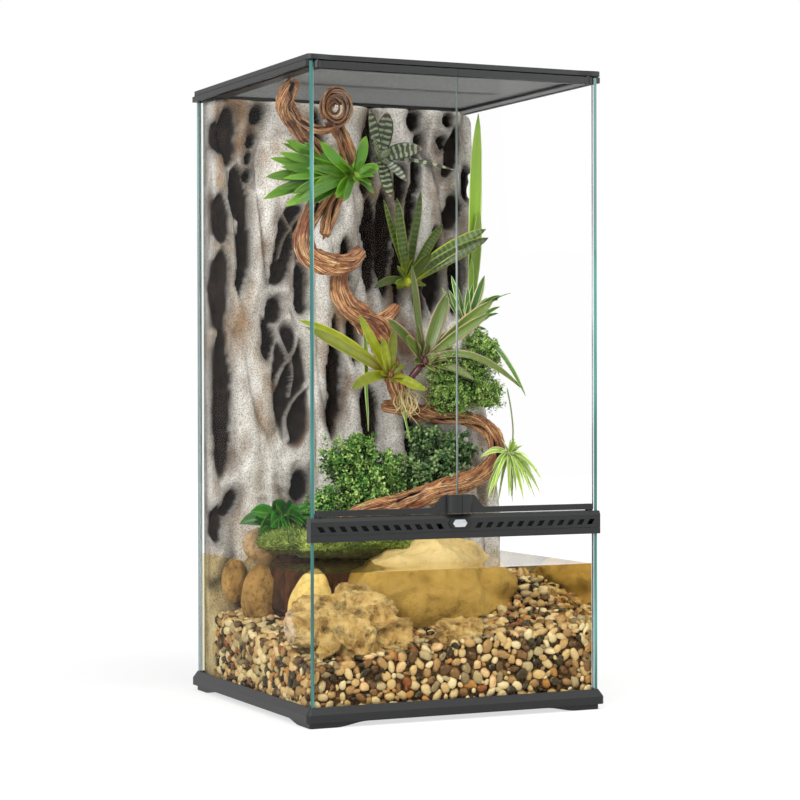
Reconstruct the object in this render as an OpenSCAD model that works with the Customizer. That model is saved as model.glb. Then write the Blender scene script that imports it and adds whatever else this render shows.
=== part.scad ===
// Planted, front-opening glass terrarium with a water section.
// Millimetres. Origin under the middle of the base, +X right, +Y back, +Z up; the doors face -Y.

/* [Glass box] */
// Outside width of the glass box
glass_w = 450; // [430:5:520]
// Outside depth of the glass box
glass_d = 450; // [430:5:520]
// Height from the feet to the top of the frame
overall_h = 923; // [900:1:1000]
// Thickness of the side, back and front panes
pane_t = 5; // [4:0.5:6]
// Thickness of the bottom pane
bottom_t = 6; // [5:0.5:8]
// Thickness of the door glass
door_t = 4; // [3:0.5:5]
// Width of the silicone joint between two panes
joint_w = 0.5; // [0.4:0.1:1]

/* [Base] */
// How far the base lip stands out past the glass
base_lip = 8; // [6:0.5:12]
// Height of the floor of the base above its feet, where the glass stands
seat_z = 12; // [10:1:16]
// Height of the underside of the lip
lip_z = 8; // [7.5:0.5:9]
// Height of the upright band of the lip
lip_h = 11; // [8:0.5:14]
// Height of the sloping band above the lip
slope_h = 10; // [6:0.5:14]
// How far the skirt stands in from the lip
skirt_inset = 6; // [4:0.5:7]
// Width of the ledge under the edges of the glass
seat_ledge = 14; // [10:1:20]
// Height of the skirt above the floor between the feet
skirt_gap = 6.5; // [4:0.5:7]
// Length of a foot along each side, from the corner
foot_len = 45; // [30:1:60]
// Length of the curve that rises from a foot to the skirt
foot_curve = 48; // [30:1:60]

/* [Ventilation rail] */
// Height of the underside of the rail
rail_z = 255; // [240:1:265]
// Height of the rail
rail_h = 33; // [32:1:40]
// How far the rail stands out past the front edges of the side panes
rail_out = 6; // [5:0.5:8]
// Depth of the rail from front to back
rail_d = 25; // [24:1:30]
// Number of slots on each side of the badge
slots = 12; // [8:1:12]
// Distance from the middle to the first slot
first_slot = 31; // [28:1:33]
// Distance between slots
slot_pitch = 16.4; // [14:0.1:16.6]
// Height of a slot
slot_h = 7.6; // [5:0.2:9]
// Width of a slot
slot_w = 8.2; // [5:0.2:9]
// Lean of the slots
slot_lean = 34; // [20:1:38]
// Width of the badge
badge_w = 35; // [28:1:38]
// Height of the badge
badge_h = 14; // [10:1:14]

/* [Doors] */
// Height of the gap under the doors
door_gap_z = 2; // [1.5:0.5:4]
// Gap between the two doors
door_split = 1.2; // [1:0.2:3]
// Height of the bottom rail of a door
door_rail_h = 8; // [7:0.5:10]
// Height of the top rail of a door
top_rail_h = 10; // [8:0.5:12]
// Thickness of a door rail from front to back
door_rail_t = 10.5; // [9.5:0.5:11]
// Radius of a hinge pin
pin_r = 2; // [1.5:0.1:2.5]
// Distance from the hinge axis to the inside of the side pane
hinge_in = 7.5; // [7:0.5:10]
// Width of one half of the door knob
knob_w = 20; // [15:1:25]
// How far the knob stands out from the rail
knob_out = 11; // [8:1:12]
// Height of the knob above the bottom of the rail
knob_h = 26; // [20:1:30]

/* [Top] */
// Height of the upper band of the frame
cap_h = 7; // [6:0.5:8]
// Height of the lower band of the frame
band_h = 8.4; // [7:0.2:10]
// How far the upper band stands out past the glass
cap_out = 4; // [3.5:0.5:5]
// How far the lower band stands out past the upper one
band_out = 1.5; // [1:0.25:2]
// Width of the ledge under the screen cover
screen_ledge = 10.6; // [8:0.2:14]
// Depth of the cable bar behind the screen cover
cable_bar = 36; // [34:1:40]
// Width of the screen cover's frame
screen_rail = 12; // [10:0.5:14]
// Height of the screen cover's frame
screen_h = 7.7; // [6:0.1:8]
// Distance between the wires of the drawn mesh
mesh_pitch = 24; // [24:1:40]
// Length of one cable inlet
inlet_len = 20; // [14:1:22]
// Width of a cable inlet from front to back
inlet_w = 14; // [10:1:14]
// Number of inlets behind each slider
inlets = 3; // [1:1:3]

/* [Landscape] */
// Depth of the background panel at its top
relief_top = 62; // [50:1:70]
// Depth of the background panel at its lower left
relief_left = 36; // [30:1:50]
// Depth of the background panel at its lower right
relief_right = 150; // [120:1:160]
// Height of the gravel at the front left corner
gravel_front_left = 80; // [60:1:90]
// Height of the gravel at the front right corner
gravel_front_right = 125; // [100:1:135]
// Height of the gravel at the back left corner
gravel_back_left = 128; // [110:1:140]
// Height of the gravel at the back right corner
gravel_back_right = 186; // [150:1:195]

/* [Hidden] */
$fn = 48;

// Play between parts that are pushed or glued together
fit = 0.3;
// Radial play of a hinge pin in its socket
pin_play = 0.05;
// Gap between things that lie on each other in the landscape
lie_gap = 0.3;

// The glass
half_w = glass_w / 2;
half_d = glass_d / 2;
inner_x = half_w - pane_t;
back_y = half_d - pane_t;
front_set = 1;
front_y = -half_d + front_set;
front_in = front_y + pane_t;
floor_z = seat_z + bottom_t;
cap_z = overall_h - cap_h;
pane_top = cap_z - 2;
lower_pane_top = rail_z + 7;

// The rail
rail_top = rail_z + rail_h;
rail_front = -half_d - rail_out;
rail_back = rail_front + rail_d;
rail_wall = 2.6;
rail_side = 2;
slot_z = rail_z + 17.5;
slot_shift = slot_h / 2 * tan(slot_lean);
duct_low = slot_z - 6.5;
duct_high = slot_z + 6.5;
badge_z = rail_z + 21;
badge_t = 1.6;

// The doors
hinge_x = inner_x - hinge_in;
hinge_y = -half_d + 2;
barrel_r = hinge_in - 1;
door_z = rail_top + door_gap_z;
door_top = cap_z - 1.5;
door_side = inner_x - 1.2;
rail_floor = 4;
rail_roof = 3.5;
lip_t = (door_rail_t - door_t) / 2 - 0.1;
glass_play = 0.1;
door_front = hinge_y - door_t / 2 - glass_play - lip_t;
shoulder_w = 19;
washer_h = door_gap_z - fit;
lower_pin_z = rail_top - 6.5;
upper_pin_z = cap_z + 5;

// The top
recess_x = inner_x - 8.4;
recess_front = -half_d + 13.4;
recess_back = back_y - 8.4 - cable_bar;
ledge_t = 4.4;
ledge_z = cap_z - band_h - 1;
ledge_top = ledge_z + ledge_t;
screen_x = recess_x - 0.4;
screen_front = recess_front + 0.4;
screen_back = recess_back - 0.4;
screen_z = ledge_top + fit;
screen_y = (screen_front + screen_back) / 2;
mesh_t = 0.7;
wire_w = 2.4;
lock_len = 24;
lock_y = screen_y;
slider_w = inlet_w + 8;
slider_t = 2.5;
slider_y = recess_back + 3 + (back_y - 8.4 - recess_back - 3) / 2;
inlet_web = 4;
inlet_run = inlets * inlet_len + (inlets - 1) * inlet_web;
inlet_x = recess_x - 2;

// The planting was laid out for a tank whose inside is this wide, deep and high
laid_half_w = 220;
laid_back = 220;
laid_top = 905;
function at(p) = [
  p.x * inner_x / laid_half_w,
  p.y * back_y / laid_back,
  p.z * ledge_z / laid_top
];
function rope(points) = [for (p = points) [each at(p), p[3]]];

plastic = "#3f4042";
pale_plastic = "#8c8d8f";
glass = "#8fd0c8";
wood = "#9a5a30";
stone_tan = "#c9a254";
leaf_green = "#5f9a3c";

// ---- shared shapes ----

// Rectangle with round corners
module rounded_rect(w, d, r) {
  square([w - 2 * r, d], center = true);
  square([w, d - 2 * r], center = true);
  for (x = [-1, 1], y = [-1, 1])
    translate([x * (w / 2 - r), y * (d / 2 - r)]) circle(r);
}

// Box between two corners
module box(low, high) {
  translate(low) cube(high - low);
}

// Box between two corners and its mirror image across the middle
module box_pair(low, high) {
  for (side = [0, 1]) mirror([side, 0, 0]) box(low, high);
}

// Joins freely shaped pieces into one closed surface
module one_surface() {
  resize([0, 0, 0]) children();
}

// Smooth rise from 0 to 1 as t goes from a to b
function ramp(a, b, t) = let (s = min(max((t - a) / (b - a), 0), 1)) s * s * (3 - 2 * s);

function unit(v) = v / norm(v);
function xyz(p) = [p.x, p.y, p.z];

// Closed surface over rings of equally many points
module skin(rings) {
  n = len(rings);
  m = len(rings[0]);
  polyhedron(
    points = [for (ring = rings) each ring],
    faces = [
      [for (k = [0 : m - 1]) k],
      for (i = [0 : n - 2], k = [0 : m - 1]) let (j = (k + 1) % m)
        each [[i * m + k, (i + 1) * m + j, i * m + j], [i * m + k, (i + 1) * m + k, (i + 1) * m + j]],
      [for (k = [m - 1 : -1 : 0]) (n - 1) * m + k]
    ],
    convexity = 6
  );
}

// Point of a smooth curve through the points p, a share t of the way from p[i] to p[i + 1]
function along(p, i, t) =
  let (a = p[max(i - 1, 0)], b = p[i], c = p[i + 1], d = p[min(i + 2, len(p) - 1)])
  0.5 * (2 * b + (c - a) * t + (2 * a - 5 * b + 4 * c - d) * t * t + (3 * b - a - 3 * c + d) * t * t * t);
function smooth(p, steps) = concat(
  [for (i = [0 : len(p) - 2], k = [0 : steps - 1]) along(p, i, k / steps)],
  [p[len(p) - 1]]
);

// Gnarled stem through points that each hold a radius, made larger by grow
wood_sides = 7;
module stem(points, grow = 0, steps = 2, sides = wood_sides, gnarl = 0.12) {
  p = smooth(points, steps);
  n = len(p);
  skin([
    for (i = [0 : n - 1])
      let (
        ahead = unit(xyz(p[min(i + 1, n - 1)]) - xyz(p[max(i - 1, 0)])),
        side = unit(cross(ahead, [0.1, 1, 0.15])),
        up = cross(side, ahead),
        push = i == 0 ? -grow : i == n - 1 ? grow : 0
      )
      [for (k = [0 : sides - 1])
        let (a = -360 * k / sides, r = p[i][3] * (1 + gnarl * sin(2 * a + 70 * i)) + grow)
        xyz(p[i]) + push * ahead + r * (cos(a) * side + sin(a) * up)]
  ]);
}

// Rounded, lumpy body: stones, banks and cushions of leaves
module lump(middle, half, seed = 0, grow = 0, blocky = 1, rough = 0.08, rings = 6, around = 9) {
  c = at(middle);
  reach = at(half) + [grow, grow, grow];
  function block(v) = sign(v) * pow(abs(v), blocky);
  skin([
    for (i = [0 : rings - 1])
      let (lat = -80 + 160 * i / (rings - 1))
      [for (k = [0 : around - 1])
        let (
          lon = 360 * k / around,
          r = 1 + rough * (sin(2 * lon + 40 * seed) + sin(3 * lon + lat * 2 + 70 * seed)) * cos(lat)
        )
        c + [
          r * reach.x * block(cos(lat) * cos(lon)),
          r * reach.y * block(cos(lat) * sin(lon)),
          reach.z * block(sin(lat) / sin(80))
        ]]
  ]);
}

// Strap leaf from a base to a tip, bowed by rise, with a low keel along its middle
leaf_steps = [0, 0.3, 0.6, 0.85, 1];
leaf_widths = [0.55, 0.9, 1, 0.7, 0.1];
leaf_t = 1.4;
module leaf(base, tip, width, rise = 0, grow = 0, facing = [0.2, -1, 0.4]) {
  b = at(base);
  e = at(tip);
  mid = (b + e) / 2 + [0, 0, rise];
  skin([
    for (i = [0 : len(leaf_steps) - 1])
      let (
        t = leaf_steps[i],
        ahead = unit((1 - t) * (mid - b) + t * (e - mid)),
        side = unit(cross(ahead, facing)),
        up = cross(side, ahead),
        w = width / 2 * leaf_widths[i] + grow,
        c = (1 - t) * (1 - t) * b + 2 * t * (1 - t) * mid + t * t * e + (i == 0 ? -grow : i == len(leaf_steps) - 1 ? grow : 0) * ahead
      )
      [c - w * side, c + (leaf_t / 2 + grow) * up, c + w * side, c - (leaf_t / 2 + grow) * up]
  ]);
}

// Plant of strap leaves: [tip, width, rise] each, on a heart with a root down to what carries it
module rosette(heart, root, heart_r, leaves, grow = 0) {
  for (l = leaves) leaf(heart, l[0], l[1], l[2], grow);
  lump(heart, [heart_r, heart_r, heart_r * 1.2], 1, grow, 1, 0.05, 5, 7);
  stem(rope([[each heart, heart_r * 0.6], [each root, heart_r * 0.5]]), grow, 1, 6, 0);
}

// ---- base and glass ----

// Underside between two feet, as a profile along one side
module arch_profile(length) {
  half = length / 2 - foot_len;
  steps = 8;
  polygon([
    [-half, -1],
    for (k = [0 : steps]) [-half + foot_curve * k / steps, skirt_gap * ramp(0, steps, k)],
    for (k = [steps : -1 : 0]) [half - foot_curve * k / steps, skirt_gap * ramp(0, steps, k)],
    [half, -1]
  ]);
}

module base_frame() {
  outer_w = glass_w + 2 * base_lip;
  outer_d = glass_d + 2 * base_lip;
  corner_r = 6;
  rim = 1.2;
  color(plastic) difference() {
    union() {
      hull() {
        translate([0, 0, lip_z]) linear_extrude(lip_h) rounded_rect(outer_w, outer_d, corner_r, $fn = 24);
        translate([0, 0, lip_z + lip_h + slope_h - 0.5]) linear_extrude(0.5)
          rounded_rect(glass_w + 2 * (fit + rim), glass_d + 2 * (fit + rim), 2, $fn = 24);
      }
      linear_extrude(lip_z + 1)
        rounded_rect(outer_w - 2 * skirt_inset, outer_d - 2 * skirt_inset, 4, $fn = 24);
    }
    translate([0, 0, seat_z]) linear_extrude(lip_h + slope_h)
      square([glass_w + 2 * fit, glass_d + 2 * fit], center = true);
    translate([0, 0, -1]) linear_extrude(seat_z + 2)
      square([glass_w - 2 * seat_ledge, glass_d - 2 * seat_ledge], center = true);
    translate([0, outer_d, 0]) rotate([90, 0, 0]) linear_extrude(2 * outer_d) arch_profile(outer_w);
    translate([-outer_w, 0, 0]) rotate([90, 0, 90]) linear_extrude(2 * outer_w) arch_profile(outer_d);
  }
}

module bottom_pane() {
  color(glass, 0.4)
    box([-inner_x + joint_w, front_in + joint_w, seat_z], [inner_x - joint_w, back_y - joint_w, floor_z]);
}

module back_pane() {
  color(glass, 0.4) box([-half_w, back_y, seat_z], [half_w, half_d, pane_top]);
}

module side_pane(side) {
  color(glass, 0.4) scale([side, 1, 1])
    box([inner_x, -half_d, seat_z], [half_w, back_y - joint_w, pane_top]);
}

module left_pane() mirror([1, 0, 0]) side_pane(1);
module right_pane() side_pane(1);

module front_pane() {
  color(glass, 0.4) box([-inner_x + joint_w, front_y, seat_z], [inner_x - joint_w, front_in, lower_pane_top]);
}

module pane_sealant() {
  color("#dfe4e2") {
    box_pair([inner_x - joint_w, front_y, seat_z], [inner_x, front_in, lower_pane_top]);
    box_pair([inner_x, back_y - joint_w, seat_z], [half_w, back_y, pane_top]);
    box_pair([inner_x - joint_w, front_in, seat_z], [inner_x, back_y, floor_z]);
    box([-inner_x + joint_w, front_in, seat_z], [inner_x - joint_w, front_in + joint_w, floor_z]);
    box([-inner_x + joint_w, back_y - joint_w, seat_z], [inner_x - joint_w, back_y, floor_z]);
  }
}

// ---- ventilation rail ----

module vent_rail() {
  edge = 5;
  edge_in = 3;
  color(plastic) difference() {
    union() {
      box([-inner_x + fit, rail_front, rail_z], [inner_x - fit, rail_back, rail_top]);
      box([-half_w - rail_side, rail_front, rail_z], [half_w + rail_side, -half_d - fit, rail_top]);
      box_pair([half_w + fit, rail_front, rail_z], [half_w + rail_side, -half_d + 9, rail_top]);
      for (side = [-1, 1]) translate([side * hinge_x, hinge_y, rail_top - 1])
        cylinder(r = barrel_r - 1, h = 1 + washer_h);
    }
    // paler sloping edge along the top
    rotate([90, 0, 90]) translate([0, 0, -half_w - 10]) linear_extrude(glass_w + 20)
      polygon([
        [rail_front - 1, rail_top - edge], [rail_front, rail_top - edge],
        [rail_front + edge_in, rail_top], [rail_front + edge_in, rail_top + 1], [rail_front - 1, rail_top + 1]
      ]);
    // fine line under the slots
    box([-half_w - 10, rail_front - 1, rail_z + 8.6], [half_w + 10, rail_front + 0.5, rail_z + 9.4]);
    // groove over the front pane
    box([-inner_x, front_y - fit, rail_z - 1], [inner_x, front_in + fit, lower_pane_top + fit]);
    for (side = [0, 1]) mirror([side, 0, 0]) {
      box([first_slot - 7, rail_front + rail_wall, duct_low], [inner_x - 1.5, rail_back - 7, duct_high]);
      box([first_slot, rail_back - 8, duct_low + 1.5], [inner_x - 24, rail_back + 1, duct_high - 1.5]);
      for (k = [0 : slots - 1]) translate([first_slot + k * slot_pitch, rail_front + rail_wall + 1, slot_z])
        rotate([90, 0, 0]) linear_extrude(rail_wall + 2) polygon([
          [-slot_w / 2 - slot_shift, -slot_h / 2], [slot_w / 2 - slot_shift, -slot_h / 2],
          [slot_w / 2 + slot_shift, slot_h / 2], [-slot_w / 2 + slot_shift, slot_h / 2]
        ]);
      translate([hinge_x, hinge_y, lower_pin_z]) cylinder(r = pin_r + pin_play, h = rail_h);
    }
  }
}

module vent_screen() {
  color("#1d1d1e")
    box_pair([first_slot - 6.7, rail_back - 7.8, duct_low + fit], [inner_x - 1.8, rail_back - 7, duct_high - fit]);
}

module badge_outline(w, h) {
  cut = h * 0.36;
  polygon([
    [-w / 2, 0], [-w / 2 + cut, h / 2], [w / 2 - cut, h / 2],
    [w / 2, 0], [w / 2 - cut, -h / 2], [-w / 2 + cut, -h / 2]
  ]);
}

badge_rim = 3;
module badge_bezel() {
  color("#1c1c1d") translate([0, rail_front, badge_z]) rotate([90, 0, 0]) difference() {
    linear_extrude(badge_t) badge_outline(badge_w, badge_h);
    translate([0, 0, 0.6]) linear_extrude(badge_t) badge_outline(badge_w - 4 * badge_rim, badge_h - badge_rim);
  }
}

module badge_plate() {
  color("#b9bbbd") translate([0, rail_front - 0.6, badge_z]) rotate([90, 0, 0])
    linear_extrude(badge_t - 0.8)
      badge_outline(badge_w - 4 * badge_rim - 2 * fit, badge_h - badge_rim - 2 * fit);
}

// ---- doors, drawn for the right side ----

// The door's glass, made larger by play
module door_glass(play = 0) {
  box(
    [door_split / 2 - play, hinge_y - door_t / 2 - play, door_z + rail_floor - play],
    [door_side - play, hinge_y + door_t / 2 + play, door_top - rail_roof + play]
  );
}

module door_pane() {
  color(glass, 0.4) door_glass();
}

// Straight stretch and round end that a door rail has, between two heights
module door_bar(low, high) {
  box([door_split / 4, door_front, low], [hinge_x, door_front + door_rail_t, high]);
  translate([hinge_x, hinge_y, low]) cylinder(r = barrel_r, h = high - low);
}

module door_bottom_rail() {
  split = door_split / 4;
  rail_high = door_z + door_rail_h;
  knob_top = door_z + knob_h;
  steps = 6;
  color(plastic) difference() {
    union() {
      door_bar(door_z, rail_high);
      // shoulder that rises to the knob
      translate([0, hinge_y - door_t / 2 - glass_play, 0]) rotate([90, 0, 0]) linear_extrude(lip_t) polygon([
        [split, rail_high - 1], [split, knob_top], [knob_w + 2, knob_top],
        for (k = [1 : steps]) [
          knob_w + 2 + shoulder_w * k / steps,
          rail_high + (knob_h - door_rail_h) * (1 - ramp(0, steps, k))
        ],
        [knob_w + 2 + shoulder_w, rail_high - 1]
      ]);
      // half of the round knob
      translate([0, door_front, door_z + 0.5]) linear_extrude(knob_h - 0.5) polygon([
        [split, 1],
        [split, -knob_out],
        for (k = [1 : steps]) [knob_w * sin(90 * k / steps), -knob_out * cos(90 * k / steps)],
        [knob_w, 1]
      ]);
    }
    box(
      [-1, hinge_y - door_t / 2 - glass_play, door_z + rail_floor],
      [inner_x, hinge_y + door_t / 2 + glass_play, knob_top + 1]
    );
    translate([hinge_x, hinge_y, door_z - 1]) cylinder(r = pin_r, h = 1 + rail_floor - 0.4);
  }
}

module door_top_rail() {
  low = door_top - top_rail_h;
  color(plastic) difference() {
    door_bar(low, door_top);
    box(
      [-1, hinge_y - door_t / 2 - glass_play, low - 1],
      [inner_x, hinge_y + door_t / 2 + glass_play, door_top - rail_roof]
    );
    translate([hinge_x, hinge_y, door_top - rail_roof + 0.3]) cylinder(r = pin_r, h = rail_roof + 1);
  }
}

module hinge_pins() {
  color("#b8b8b8") {
    translate([hinge_x, hinge_y, lower_pin_z + fit])
      cylinder(r = pin_r, h = door_z + rail_floor - 0.5 - lower_pin_z - fit);
    translate([hinge_x, hinge_y, door_top - rail_roof + 0.4])
      cylinder(r = pin_r, h = upper_pin_z - fit - door_top + rail_roof - 0.4);
  }
}

module left_door_pane() mirror([1, 0, 0]) door_pane();
module left_door_bottom_rail() mirror([1, 0, 0]) door_bottom_rail();
module left_door_top_rail() mirror([1, 0, 0]) door_top_rail();
module left_hinge_pins() mirror([1, 0, 0]) hinge_pins();
module right_door_pane() door_pane();
module right_door_bottom_rail() door_bottom_rail();
module right_door_top_rail() door_top_rail();
module right_hinge_pins() hinge_pins();

// ---- top ----

// Outline of the upper band: the front fascia curves in between the corner blocks
module cap_outline() {
  corner = half_w + cap_out;
  block_y = -half_d - rail_out;
  fascia_y = block_y + 2.5;
  block_x = inner_x - 1;
  curve = 28;
  r = 4;
  steps = 6;
  polygon([
    [-corner + r, block_y], [-block_x, block_y],
    for (k = [0 : steps]) [-block_x + curve * k / steps, block_y + (fascia_y - block_y) * ramp(0, steps, k)],
    for (k = [steps : -1 : 0]) [block_x - curve * k / steps, block_y + (fascia_y - block_y) * ramp(0, steps, k)],
    [block_x, block_y], [corner - r, block_y], [corner, block_y + r],
    [corner, half_d + cap_out - r], [corner - r, half_d + cap_out],
    [-corner + r, half_d + cap_out], [-corner, half_d + cap_out - r], [-corner, block_y + r]
  ]);
}

// Run of inlets or the slider over them, on the right
module inlet_boxes(low, high) {
  for (k = [0 : inlets - 1])
    let (right = inlet_x - k * (inlet_len + inlet_web))
    box([right - inlet_len, slider_y - inlet_w / 2, low], [right, slider_y + inlet_w / 2, high]);
}

module lock_space(low, high, half_len, x0, x1) {
  box([x0, lock_y - half_len, low], [x1, lock_y + half_len, high]);
}

lock_z = screen_z + screen_h + 1.4;
lock_t = 1.2;
module top_frame() {
  band_w = half_w + cap_out + band_out;
  inner_wall = inner_x - fit;
  channel_top = pane_top + 0.5;
  guide_y = slider_w / 2 + fit;
  color(plastic) difference() {
    union() {
      translate([0, 0, cap_z]) linear_extrude(cap_h) cap_outline();
      // groove between the bands
      box([-half_w - 3, -half_d - fit, cap_z - 1.2], [half_w + 3, half_d + 3, cap_z + 1]);
      // lower band over the sides and the back
      box([-band_w, -half_d - fit, ledge_z], [band_w, half_d + cap_out + band_out, cap_z - 1]);
    }
    // opening that the screen cover lies over
    box(
      [-recess_x + screen_ledge, recess_front + screen_ledge, ledge_z - 1],
      [recess_x - screen_ledge, recess_back - screen_ledge, overall_h + 1]
    );
    // recess for the screen cover
    box([-recess_x, recess_front, ledge_top], [recess_x, recess_back, overall_h + 1]);
    // room for the doors
    box([-inner_x, -half_d - 20, ledge_z - 1], [inner_x, -half_d + 9.2, cap_z - 0.4]);
    // channels over the glass
    box_pair([inner_wall, -half_d - 1, ledge_z - 1], [half_w + fit, half_d + fit, channel_top]);
    box([-half_w - fit, back_y - fit, ledge_z - 1], [half_w + fit, half_d + fit, channel_top]);
    // trough for the inlet sliders
    box([-recess_x, slider_y - guide_y + 2, ledge_top], [recess_x, slider_y + guide_y - 2, overall_h + 1]);
    box([-recess_x, slider_y - guide_y, ledge_top], [recess_x, slider_y + guide_y, ledge_top + slider_t + 0.4]);
    box([-recess_x, recess_back + 3, ledge_top + slider_t + 1.2], [recess_x, back_y - 8.4, overall_h + 1]);
    for (side = [0, 1]) mirror([side, 0, 0]) {
      inlet_boxes(ledge_z - 1, ledge_top + 1);
      translate([hinge_x, hinge_y, cap_z - 2]) cylinder(r = pin_r + pin_play, h = upper_pin_z - cap_z + 2);
      lock_space(lock_z, lock_z + lock_t + 0.3, lock_len / 2 + fit, recess_x - 1, half_w + 2.5);
      lock_space(lock_z, overall_h + 1, lock_len / 2 - 2 + fit, recess_x - 1, half_w + 2.5);
    }
  }
}

module screen_frame() {
  color(plastic) difference() {
    box([-screen_x, screen_front, screen_z], [screen_x, screen_back, screen_z + screen_h]);
    box(
      [-screen_x + screen_rail, screen_front + screen_rail, screen_z - 1],
      [screen_x - screen_rail, screen_back - screen_rail, screen_z + screen_h + 1]
    );
    // rebate for the edge of the mesh
    box(
      [-screen_x + screen_rail - 6, screen_front + screen_rail - 6, screen_z - 1],
      [screen_x - screen_rail + 6, screen_back - screen_rail + 6, screen_z + mesh_t + 0.2]
    );
  }
}

module screen_mesh() {
  half_x = screen_x - screen_rail + 5.7;
  half_y = (screen_back - screen_front) / 2 - screen_rail + 5.7;
  across = floor(2 * half_x / mesh_pitch);
  deep = floor(2 * half_y / mesh_pitch);
  step_x = (2 * half_x - wire_w) / across;
  step_y = (2 * half_y - wire_w) / deep;
  color(pale_plastic) translate([0, screen_y, screen_z + 0.1]) linear_extrude(mesh_t) difference() {
    square([2 * half_x, 2 * half_y], center = true);
    for (i = [0 : across - 1], j = [0 : deep - 1])
      translate([-half_x + wire_w + i * step_x, -half_y + wire_w + j * step_y])
        square([step_x - wire_w, step_y - wire_w]);
  }
}

module screen_stiffener() {
  low = screen_z + mesh_t + 0.3;
  inside = screen_x - screen_rail;
  thick_end = inside - 27;
  color(plastic) {
    box([-inside, screen_y - 2, low], [inside, screen_y + 2, low + 2.5]);
    box([-thick_end, screen_y - 6, low], [thick_end, screen_y + 6, screen_z + screen_h - 1]);
  }
}

module screen_lock(side) {
  x0 = recess_x + 0.4;
  x1 = half_w + 1.5;
  color(pale_plastic) {
    box([x0, lock_y - lock_len / 2, lock_z + 0.1], [x1, lock_y + lock_len / 2, lock_z + lock_t]);
    box([x0 + 4, lock_y - lock_len / 2 + 3, lock_z + 0.1], [x1 - 4, lock_y + lock_len / 2 - 3, overall_h - 0.2]);
  }
}

module screen_lock_left() mirror([1, 0, 0]) screen_lock();
module screen_lock_right() screen_lock();

module cable_inlet_slider() {
  outer = inlet_x + 1.6;
  inner = inlet_x - inlet_run - 2;
  top = ledge_top + 0.1 + slider_t;
  color(pale_plastic) {
    box([inner, slider_y - slider_w / 2, ledge_top + 0.1], [outer, slider_y + slider_w / 2, top]);
    box([inner + 6, slider_y - slider_w / 2 + 4, top - 1], [inner + 12, slider_y + slider_w / 2 - 4, top + 4]);
  }
}

module cable_inlet_slider_left() mirror([1, 0, 0]) cable_inlet_slider();
module cable_inlet_slider_right() cable_inlet_slider();

// ---- background and ground ----

// Long hollows of the relief: [x, z, half width, half height]
hollows = [
  [-206, 847, 6, 28], [-190, 848, 12, 48], [-154, 880, 11, 16], [-161, 838, 8, 14],
  [-180, 750, 13, 70], [-206, 720, 11, 40], [-170, 620, 8, 110], [-206, 560, 12, 210],
  [-94, 700, 24, 50], [-112, 640, 13, 46], [-76, 617, 12, 42], [-98, 470, 28, 98],
  [36, 700, 10, 200], [62, 690, 12, 90], [88, 760, 9, 150], [112, 790, 9, 60], [178, 835, 13, 46],
  [180, 744, 14, 30], [206, 789, 10, 28], [-29, 480, 9, 100], [25, 423, 14, 50], [86, 394, 10, 66]
];
relief_deep = 26;

// Depth of the background panel at a laid-out place
function relief(x, z) =
  let (
    left = relief_left + (relief_top - relief_left) * ramp(150, 450, z),
    right = relief_right + (relief_top - relief_right) * ramp(250, 600, z),
    wall = left + (right - left) * ramp(-laid_half_w, laid_half_w, x),
    swell = 5 * sin(3.4 * x + 30 * sin(0.7 * z)) + 3 * sin(7 * x + 0.5 * z),
    dent = max([for (h = hollows)
      let (q = pow((x - h[0]) / (h[2] + 3), 2) + pow((z - h[1]) / h[3], 2)) q < 1 ? sqrt(1 - q) : 0])
  )
  max(wall + swell - min(relief_deep, relief_left / 2) * dent, 8);

relief_cols = 30;
relief_rows = 32;
relief_edge = laid_half_w - 3;
relief_low = floor_z * laid_top / ledge_z + fit;
module panel_solid(grow = 0) {
  nx = relief_cols;
  nz = relief_rows;
  high = laid_top - 1.5;
  x_at = function (i) -relief_edge + 2 * relief_edge * i / nx;
  z_at = function (j) relief_low + (high - relief_low) * j / nz;
  front = [
    for (j = [0 : nz], i = [0 : nx])
      let (foot = at([x_at(i), 0, z_at(j)]))
      [foot.x, back_y - relief(x_at(i), z_at(j)) - grow, foot.z]
  ];
  rim = concat(
    [for (i = [0 : nx - 1]) i],
    [for (j = [0 : nz - 1]) j * (nx + 1) + nx],
    [for (i = [nx : -1 : 1]) nz * (nx + 1) + i],
    [for (j = [nz : -1 : 1]) j * (nx + 1)]
  );
  m = len(rim);
  base = len(front);
  one_surface() polyhedron(
    points = concat(front, [for (k = rim) [front[k].x, back_y - fit, front[k].z]]),
    faces = concat(
      [for (j = [0 : nz - 1], i = [0 : nx - 1])
        let (a = j * (nx + 1) + i, b = a + nx + 1)
        each [[a, b, b + 1], [a, b + 1, a + 1]]],
      [for (k = [0 : m - 1])
        let (l = (k + 1) % m)
        each [[rim[k], rim[l], base + l], [rim[k], base + l, base + k]]],
      [[for (k = [0 : m - 1]) base + k]]
    ),
    convexity = 10
  );
}

module background_panel() {
  color("#b7ad9c") panel_solid();
}

// Height of the gravel at a laid-out place
function gravel_z(x, y) =
  let (
    u = (x + laid_half_w) / 2 / laid_half_w,
    v = (y + laid_back) / 2 / laid_back,
    front = gravel_front_left + (gravel_front_right - gravel_front_left) * u,
    back = gravel_back_left + (gravel_back_right - gravel_back_left) * u
  )
  front + (back - front) * v + 3 * sin(2.1 * x) * cos(1.7 * y);

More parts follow.
